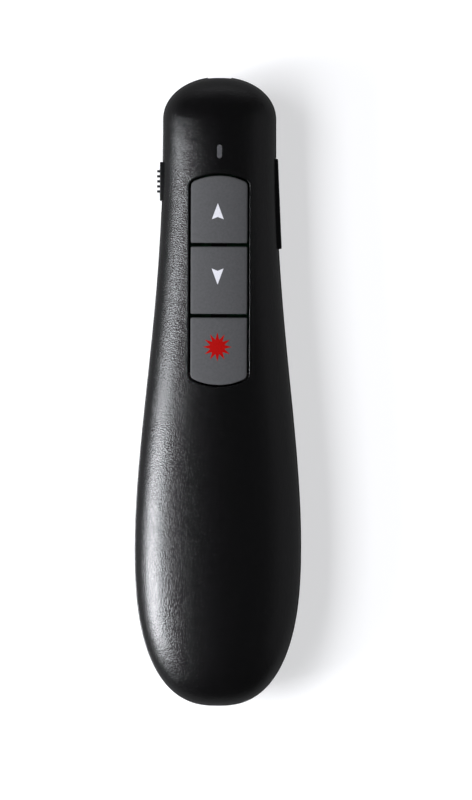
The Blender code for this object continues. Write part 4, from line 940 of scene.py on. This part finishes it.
def side_cutters():
    """Cutters for the slider's seat and the slot behind it, and for the rocker's opening."""
    _, y, z = ranges("power_slider")
    middle = sum(y) / 2
    wall_x = -half_width(middle)
    seat_x = (wall_x - OVERRUN, wall_x + SHADOW_STEP + SLIDER_SEAT)
    seat_y = (y[0] - SLIDER_TRAVEL - SIDE_GAP, y[1] + SIDE_GAP)
    seat = box("slider seat", seat_x, seat_y, grown(z, SIDE_GAP))
    slot_y = (middle - NECK_HALF - SLIDER_TRAVEL - SIDE_GAP, middle + NECK_HALF + SIDE_GAP)
    slot_z = (NECK_Z[0] - SIDE_GAP, NECK_Z[1] + SIDE_GAP / 2)
    slot = box("slider slot", (wall_x, wall_x + WALL + OVERRUN), slot_y, slot_z)
    x, y, z = ranges("rocker_key")
    opening_x = (x[0] - SIDE_GAP, x[1] + OVERRUN)
    opening = box("rocker opening", opening_x, grown(y, SIDE_GAP), grown(z, SIDE_GAP))
    return bevel(seat, SEAT_ROUND), slot, bevel(opening, SEAT_ROUND)


def space_round(node, gap):
    """A cutter with a gap all round a node that is round about an axis along Y."""
    x, y, z = ranges(node)
    base = (sum(x) / 2, y[0] - gap, sum(z) / 2)
    return rod("space", (z[1] - z[0]) / 2 + gap, base, FORWARD, y[1] - y[0] + 2 * gap)


def aperture_cutter():
    """The hole in the nose."""
    x, y, z = ranges("aperture_ring")
    start = y[0] - OVERRUN
    radius, length = (x[1] - x[0]) / 2 + SIDE_GAP / 2, CASE_LENGTH / 2 - start + OVERRUN
    return rod("aperture", radius, (0, start, sum(z) / 2), FORWARD, length)


def case_top(material):
    """The upper half: its skin, with openings for the keys, the light, the sides and the nose."""
    top = shell("case_top", UPPER, REBATE_FACE, WALL + SHADOW_STEP, material)
    spans = key_spans()
    opening = flared_cutter(
        "key opening",
        lambda grow: key_outline(spans, 0, len(KEY_NAMES) - 1, KEY_SIDE_GAP + grow),
        UPPER, OPENING_DEPTH, OPENING_EDGE,
    )
    window = flared_cutter(
        "window opening", lambda grow: light_outline(LIGHT_GAP + grow), UPPER, OPENING_DEPTH, LIGHT_EDGE
    )
    cut(top, opening, window, *side_cutters(), aperture_cutter())
    carried(shaded(top), "housing", "case_black", "upper_shell")


def battery_bay():
    """The battery bay's low and high value on X and on Y."""
    low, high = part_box("battery_door")
    return both_ways(high.x + DOOR_GAP), (low.y + LATCH_PAST_EDGE, high.y - TAB_PAST_EDGE)


def inner_walls():
    """Solids for the bay, the receiver's sleeve and the screws' bosses, trimmed to the lower half."""
    bay_x, bay_y = battery_bay()
    sleeve_x = both_ways(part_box("receiver_head")[1].x + DOOR_GAP + BAY_WALL)
    height = (0, LOWER.level)
    solids = [
        box("bay block", grown(bay_x, BAY_WALL), grown(bay_y, BAY_WALL), height),
        box("receiver sleeve", sleeve_x, (-CASE_LENGTH / 2, bay_y[0]), height),
    ]
    for x, y in screw_places():
        solids.append(rod("boss", WELL_RADIUS + BAY_WALL, (x, y, 0), UP, LOWER.level))
    return [combine(solid, [lower_form("core", WALL / 2)], "INTERSECT") for solid in solids]


def screw_wells():
    """Cutters for the screws' heads from below, and for their shanks."""
    wells = []
    for x, y in screw_places():
        wells.append(rod("well", WELL_RADIUS, (x, y, -OVERRUN), UP, SCREW_SEAT_LEVEL + OVERRUN))
        wells.append(rod("screw bore", SCREW_BORE, (x, y, SCREW_SEAT_LEVEL - OVERRUN), UP, PARTING))
    return wells


def bay_cutters():
    """Cutters for the bay, the door's opening inside its ledge, its latch and its tab."""
    low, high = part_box("battery_door")
    bay_x, bay_y = battery_bay()
    latch_x = both_ways(CATCH_HALF + DOOR_GAP)
    latch_y = (low.y - DOOR_GAP, bay_y[0] + OVERRUN)
    throat_z = grown((LEDGE_LOW, LEDGE_HIGH), OVERRUN)
    return [
        box("bay space", bay_x, bay_y, (LEDGE_HIGH, LOWER.level + OVERRUN)),
        box("bay throat", grown(bay_x, -LEDGE_WIDTH), bay_y, throat_z),
        box("doorway", bay_x, bay_y, (OVERRUN, LEDGE_LOW)),
        flared_cutter(
            "door mouth",
            lambda grow: door_outline(bay_x, bay_y, grow),
            LOWER, 2 * OVERRUN, DOOR_EDGE,
        ),
        flared_cutter(
            "latch mouth",
            lambda grow: door_outline(latch_x, latch_y, grow),
            LOWER, LEDGE_HIGH, DOOR_EDGE,
        ),
        box("tab slot", latch_x, (bay_y[1] - OVERRUN, high.y + OVERRUN), (WALL, high.z + OVERRUN)),
    ]


def tail_slot(node):
    """A slot in from the tail, with a gap round a piece of the receiver."""
    x, y, z = ranges(node)
    slot_y = (-CASE_LENGTH / 2 - OVERRUN, y[1] + SEAM)
    return box("tail slot", both_ways(x[1] + SIDE_GAP), slot_y, grown(z, SIDE_GAP))


def case_bottom(material):
    """The lower half: its skin, the walls round the battery bay, and the receiver's slot in the tail."""
    bottom = shell("case_bottom", LOWER, TONGUE_FACE, WALL, material)
    join(bottom, *inner_walls())
    slots = (bevel(tail_slot("receiver_head"), HEAD_CORNER), tail_slot("receiver_plug"))
    cradle = space_round("laser_barrel", RIM_CLEARANCE)
    cut(bottom, *bay_cutters(), *slots, cradle, *screw_wells(), *side_cutters(), aperture_cutter())
    carried(shaded(bottom), "housing", "case_black", "lower_shell")


def groove(y, z, radius):
    """A cutter for a grip groove across a piece."""
    return rod("groove", radius, (-GRIP_HALF, y, z), ACROSS, 2 * GRIP_HALF)


def battery_door(material):
    """The door: its panel follows the belly, with grip grooves near its latch."""
    low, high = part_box("battery_door")
    door_x = both_ways(high.x)
    door_y = (low.y + LATCH_PAST_EDGE + DOOR_GAP, high.y - TAB_PAST_EDGE - DOOR_GAP)
    back, front = door_y
    door = pillow(
        "door_panel",
        lambda grow: door_outline(door_x, door_y, grow),
        LOWER, LEDGE_LOW - DOOR_GAP, DOOR_EDGE, material,
    )
    catch_x, latch_y = both_ways(CATCH_HALF), (back, back + CATCH_THICK)
    thumb = pillow(
        "latch thumb",
        lambda grow: door_outline(catch_x, (low.y, latch_y[1]), grow),
        LOWER, DOOR_THICK, DOOR_EDGE, material,
    )
    riser = box("latch riser", both_ways(CATCH_HALF - SIDE_GAP), latch_y, (DOOR_THICK / 2, high.z))
    tab_back, tab_top = front - CATCH_THICK, TAB_LOW + CATCH_THICK
    tab = box("tab", catch_x, (tab_back, high.y), (TAB_LOW, tab_top))
    root = box("tab root", catch_x, (tab_back, front - RIM_CLEARANCE), (DOOR_THICK / 2, tab_top))
    join(door, thumb, riser, tab, root)
    hollow_z = (DOOR_THICK, high.z - LEDGE_WIDTH)
    cutters = [box("door hollow", grown(door_x, -DOOR_RIM), grown(door_y, -DOOR_RIM), hollow_z)]
    for i in range(GRIP_COUNT):
        groove_y = back + GRIP_FROM_BACK + i * GRIP_PITCH
        cutters.append(groove(groove_y, GRIP_DEPTH - GRIP_RADIUS, GRIP_RADIUS))
    cutters += [space_round(f"battery_{side}", SIDE_GAP) for side in ("left", "right")]
    cut(door, *cutters)
    carried(shaded(door), "door", "case_black", "battery_door")


# Keys and the light


def keys(material, white, red):
    """The three keys: a cap on a hollow skirt with a flange, a post, and the symbol printed on it."""
    spans = key_spans()
    prints = {"page_up": arrow_outline(1), "page_down": arrow_outline(-1), "laser": star_outline()}
    for index, name in enumerate(KEY_NAMES):
        body = f"button_{name}"
        x, y, (bottom, _) = ranges(f"key_{name}")
        middle = sum(y) / 2
        ceiling = min(height_at(UPPER, KEY_HALF, end) for end in y) - KEY_TOP
        cap = pillow(
            f"key_{name}_cap",
            lambda grow, i=index: key_outline(spans, i, i, grow),
            UPPER, ceiling, KEY_EDGE, material,
        )
        carried(shaded(cap), body, "key_grey", f"key_{name}")
        outline = key_outline(spans, index, index, 0)
        skirt = prism(f"key_{name}_skirt", outline, (bottom, ceiling), material)
        join(skirt, box("flange", x, about(middle, FLANGE_HALF), (bottom, bottom + FLANGE_THICK)))
        hollow_x, hollow_z = both_ways(KEY_HALF - KEY_WALL), grown((bottom, ceiling), OVERRUN)
        cut(skirt, box("hollow", hollow_x, grown(y, -KEY_WALL), hollow_z))
        carried(skirt, body, "key_grey")
        post_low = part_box(f"tact_plunger_{name}")[1].z + POST_GAP
        post = rod(f"key_{name}_post", POST_RADIUS, (0, middle, post_low), UP, ceiling - post_low, material)
        carried(smooth(post), body, "key_grey")
        ink = red if name == "laser" else white
        symbol = printed(f"symbol_{name}", prints[name], (SYMBOL_X, middle + SYMBOL_SHIFTS[name]), ink)
        carried(symbol, body, "key_grey")


def arrow_outline(way):
    """An arrowhead about its own middle, pointing forward or back."""
    corners = [(0, ARROW_TIP), (ARROW_HALF, -ARROW_BACK), (0, -ARROW_NOTCH), (-ARROW_HALF, -ARROW_BACK)]
    return with_sides([[(x, way * y)] for x, y in corners], EDGE_STEPS)


def star_outline():
    """A burst of even points, for the laser."""
    corners = []
    for i in range(2 * STAR_POINTS):
        radius = STAR_INNER if i % 2 else STAR_RADIUS
        angle = math.pi * i / STAR_POINTS
        corners.append([(radius * math.sin(angle), radius * math.cos(angle))])
    return with_sides(corners, EDGE_STEPS)


def printed(name, outline, place, material):
    """A thin layer of ink that follows the key's face inside an outline."""
    mesh = bmesh.new()
    level = height_at(UPPER, *place)
    loops = [[mesh.verts.new((*place, level - 2 * PRINT_DEPTH))] * len(outline)]
    levels = [(1, -PRINT_DEPTH)] + [(i / PRINT_RINGS, PRINT_RISE) for i in range(PRINT_RINGS, 0, -1)]
    for share, rise in levels:
        points = [(place[0] + x * share, place[1] + y * share) for x, y in outline]
        loops.append([mesh.verts.new((x, y, height_at(UPPER, x, y) + rise)) for x, y in points])
    loops.append([mesh.verts.new((*place, level + PRINT_RISE))] * len(outline))
    bridge(mesh, loops)
    return smooth(add_object(name, mesh, material))


def status_light(material):
    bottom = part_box("led_window")[0].z
    light = pillow("light_pipe", light_outline, UPPER, bottom, LIGHT_EDGE, material)
    carried(shaded(light), "housing", "smoked_clear", "led_window")


# Side controls


def power_slider(material):
    """The slider: a plate with rounded ribs, and the neck that reaches into the case."""
    x, y, z = ranges("power_slider")
    middle = sum(y) / 2
    plate_x = (x[0] + RIB_STANDS, -half_width(middle) + SHADOW_STEP + SLIDER_SEAT - SIDE_GAP / 2)
    plate = bevel(box("slider_cap", plate_x, y, z, material), SLIDER_ROUND)
    inner_x = plate_x[1] - SLIDER_SEAT
    ribs = []
    for i in range(RIB_COUNT):
        rib_y = about(middle + (i - (RIB_COUNT - 1) / 2) * RIB_PITCH, RIB_THICK / 2)
        ribs.append(bevel(box("rib", (x[0], inner_x), rib_y, grown(z, -RIB_SHORT)), RIB_ROUND))
    neck = box("neck", (inner_x, x[1]), about(middle, NECK_HALF), NECK_Z)
    actuator_x, actuator_y, _ = ranges("switch_actuator")
    fork_x = (actuator_x[0] - SEAM, x[1] + OVERRUN)
    cut(neck, box("fork", fork_x, grown(actuator_y, RIM_CLEARANCE), grown(NECK_Z, OVERRUN)))
    join(plate, *ribs, neck)
    carried(smooth(plate), "slider", "control_black", "power_slider")


def rocker(material):
    """The rocker: a strip with a straight face and rounded edges, on a lug with the pin's bore."""
    x, (back, front), z = ranges("rocker_key")
    middle = (back + front) / 2
    inner_x = half_width(middle) - ROCKER_BACK_FROM_WALL
    front_x, back_x = half_width(front) + ROCKER_PROUD_FRONT, half_width(back) + ROCKER_PROUD_REAR
    outline = [(front_x, front), (back_x, back), (inner_x, back), (inner_x, front)]
    strip = bevel(prism("rocker_cap", outline, z, material), ROCKER_ROUND, segments=4)
    additions = []
    for way in (-1, 1):
        nub_y = about(middle + way * NUB_REACH, NUB_HALF)
        additions.append(box("nub", about(inner_x, NUB_STANDS), nub_y, z))
    lug_x, height = x[0] + LUG_RADIUS, z[1] - z[0]
    additions.append(rod("lug", LUG_RADIUS, (lug_x, middle, z[0]), UP, height))
    join(strip, *additions)
    cut(strip, rod("pin bore", PIN_BORE, (lug_x, middle, z[0] - OVERRUN), UP, height + 2 * OVERRUN))
    carried(shaded(strip), "rocker", "control_black", "rocker_key")


# Laser end and receiver


def aperture(material, glass):
    """The ring in the nose, dished towards its window."""
    x, y, z = ranges("aperture_ring")
    base = (0, y[0], sum(z) / 2)
    outer, length = (x[1] - x[0]) / 2, y[1] - y[0]
    profile = [
        (APERTURE_SEAT, 0),
        (outer, 0),
        (outer, length - RING_ROUND),
        (outer - RING_ROUND, length),
        (APERTURE_SEAT, length),
        (APERTURE_BORE, length - 2 * RING_ROUND),
        (APERTURE_BORE, APERTURE_WINDOW),
        (APERTURE_SEAT, APERTURE_WINDOW),
    ]
    ring = lathe("nose_ring", profile, base, FORWARD, material)
    carried(smooth(ring), "housing", "inner_plastic", "aperture_ring")
    radius, depth = APERTURE_SEAT - RIM_CLEARANCE, APERTURE_WINDOW - RIM_CLEARANCE
    window = rod("nose_window", radius, base, FORWARD, depth, glass)
    carried(smooth(window), "housing", "lens_glass", "aperture_window")


def belly_tail(z):
    """The Y of the tail's surface at a height, in the middle of the case."""
    low, high = -CASE_LENGTH / 2, 0
    for _ in range(HALVINGS):
        y = (low + high) / 2
        if height_at(LOWER, 0, y) > z:
            low = y
        else:
            high = y
    return high


def receiver_cap(material):
    """The receiver's head, which carries on the tail's surface, with grip grooves."""
    x, y, z = ranges("receiver_head")
    head = box("receiver_cap", x, (y[0] - OVERRUN, y[1]), z, material)
    combine(head, [lower_form("tail", 0)], "INTERSECT")
    bevel(head, RECEIVER_ROUND)
    grooves = []
    for i in range(GRIP_COUNT):
        level = sum(z) / 2 + (i - (GRIP_COUNT - 1) / 2) * GROOVE_PITCH
        grooves.append(groove(belly_tail(level) + GROOVE_DEPTH - GROOVE_RADIUS, level, GROOVE_RADIUS))
    cut(head, *grooves)
    carried(shaded(head), "receiver", "inner_plastic", "receiver_head")


def plug_shell(material):
    """The receiver's plug, of folded sheet with two windows above and two below."""
    x, y, z = ranges("receiver_plug")
    plug = bevel(box("plug_shell", x, y, z, material), RECEIVER_ROUND)
    cutters = [box("inside", grown(x, -SHEET), grown(y, OVERRUN), grown(z, -SHEET))]
    window_y = about(y[1] - PLUG_WINDOW_Y, PLUG_WINDOW / 2)
    for way in (-1, 1):
        window_x = about(way * PLUG_WINDOW_X, PLUG_WINDOW / 2)
        cutters.append(box("window", window_x, window_y, (z[1] - 2 * SHEET, z[1] + OVERRUN)))
        cutters.append(box("window", window_x, window_y, (z[0] - OVERRUN, z[0] + 2 * SHEET)))
    cut(plug, *cutters)
    carried(smooth(plug), "receiver", "plated_steel", "receiver_plug")


# Inner pieces, which keep their CAD shapes


def dress_inner_pieces(frame, looks):
    """Gives each CAD piece the material of its slot, but the board's screws a near-black one that paints
    shade into the gaps between the keys.
    """
    slots = {part["node"]: part["material_slot"] for part in frame["record"]["subparts"]}
    gap_shade_screws = gap_shade_screw_material()
    for name, node in frame["nodes"].items():
        slot = slots[name]
        # The screws get painted shade, so that the gaps between the keys look dark.
        if name.startswith("board_screw"):
            material = gap_shade_screws
        elif slot == "cell_jacket":
            _, ends, _ = ranges(name)
            material = cell_material(*(ends if name == "battery_right" else ends[::-1]))
        else:
            material = looks[slot]
        node.data.materials.clear()
        node.data.materials.append(material)


# Table, lights and camera


def table():
    """A pale table, with a plain white camera light that leaves its shadows. It is dim in mirror images."""
    material, shader = shader_of("table_white", TABLE_WHITE, roughness=0.9, specular=0)
    shader.inputs["Emission Color"].default_value = (*WHITE, 1)
    rays = add_node(material, "LightPath").outputs
    mirrored = calculated(material, "MULTIPLY", rays["Is Glossy Ray"], MIRRORED_GLOW)
    glow = calculated(material, "MULTIPLY_ADD", rays["Is Camera Ray"], TABLE_GLOW, mirrored)
    link(glow, shader.inputs["Emission Strength"])
    shade = colour_spread(material, rays["Is Glossy Ray"], TABLE_WHITE, TABLE_MIRRORED)
    link(shade, shader.inputs["Base Color"])
    mesh = bmesh.new()
    corners = ((-1, -1), (1, -1), (1, 1), (-1, 1))
    mesh.faces.new([mesh.verts.new((x * FLOOR_HALF, y * FLOOR_HALF, -FLOOR_GAP)) for x, y in corners])
    add_object("table", mesh, material)


def world():
    """A dim room, which the camera sees as white."""
    scene_world = bpy.data.worlds.new("room")
    scene_world.use_nodes = True
    background = scene_world.node_tree.nodes["Background"]
    background.inputs["Color"].default_value = (*WHITE, 1)
    rays = add_node(scene_world, "LightPath").outputs
    strength = spread(scene_world, rays["Is Camera Ray"], WORLD_GLOW, 1, (0, 1))
    link(strength, background.inputs["Strength"])
    bpy.context.scene.world = scene_world


def lamps():
    """Soft panels that face the object. Some of them leave no mirror image on it."""
    for lamp in LAMPS:
        data = bpy.data.lights.new(lamp.name, "AREA")
        data.shape = "RECTANGLE"
        data.size, data.size_y = lamp.length, lamp.height
        data.color = LAMP_COLOUR
        data.energy = math.pi * lamp.length * lamp.height * lamp.radiance
        thing = placed(lamp.name, data)
        thing.visible_glossy = lamp.mirrored
        rise, turn = lamp.elevation * DEGREE, lamp.azimuth * DEGREE
        out = Vector((-math.cos(rise) * math.cos(turn), math.cos(rise) * math.sin(turn), math.sin(rise)))
        along = Vector((math.sin(turn), math.cos(turn), 0))
        axes = Matrix((along, out.cross(along), out)).transposed().to_4x4()
        thing.matrix_world = Matrix.Translation(lamp.distance * out + lamp.shift * along) @ axes


def camera():
    """Straight above, with a long lens."""
    data = bpy.data.cameras.new("camera")
    data.lens = data.sensor_width * CAMERA_DISTANCE * PIXELS_PER_METRE / IMAGE_HEIGHT
    thing = placed("camera", data)
    thing.location = (*CAMERA_AIM, PARTING + CAMERA_DISTANCE)
    thing.rotation_euler = (0, 0, CAMERA_TURN)
    bpy.context.scene.camera = thing


def main():
    for thing in list(bpy.data.objects):
        bpy.data.objects.remove(thing, do_unlink=True)
    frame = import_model()
    looks = {
        "case_black": case_material(),
        "key_grey": key_material(),
        "control_black": control_material(),
        "smoked_clear": light_pipe_material(),
        "inner_plastic": inner_plastic_material(),
        "circuit_board": board_material(),
        "chip_black": chip_material(),
        "plated_steel": steel_material(),
        "brass": brass_material(),
        "lens_glass": glass_material(),
        "white_plastic": white_plastic_material(),
    }
    dress_inner_pieces(frame, looks)
    case_top(looks["case_black"])
    case_bottom(looks["case_black"])
    battery_door(looks["case_black"])
    keys(looks["key_grey"], print_material("ink_white", WHITE_INK), print_material("ink_red", RED_INK))
    status_light(looks["smoked_clear"])
    power_slider(looks["control_black"])
    rocker(looks["control_black"])
    aperture(looks["inner_plastic"], looks["lens_glass"])
    receiver_cap(looks["inner_plastic"])
    plug_shell(looks["plated_steel"])
    table()
    world()
    lamps()
    camera()
    bpy.context.scene.view_settings.view_transform = "Standard"


main()
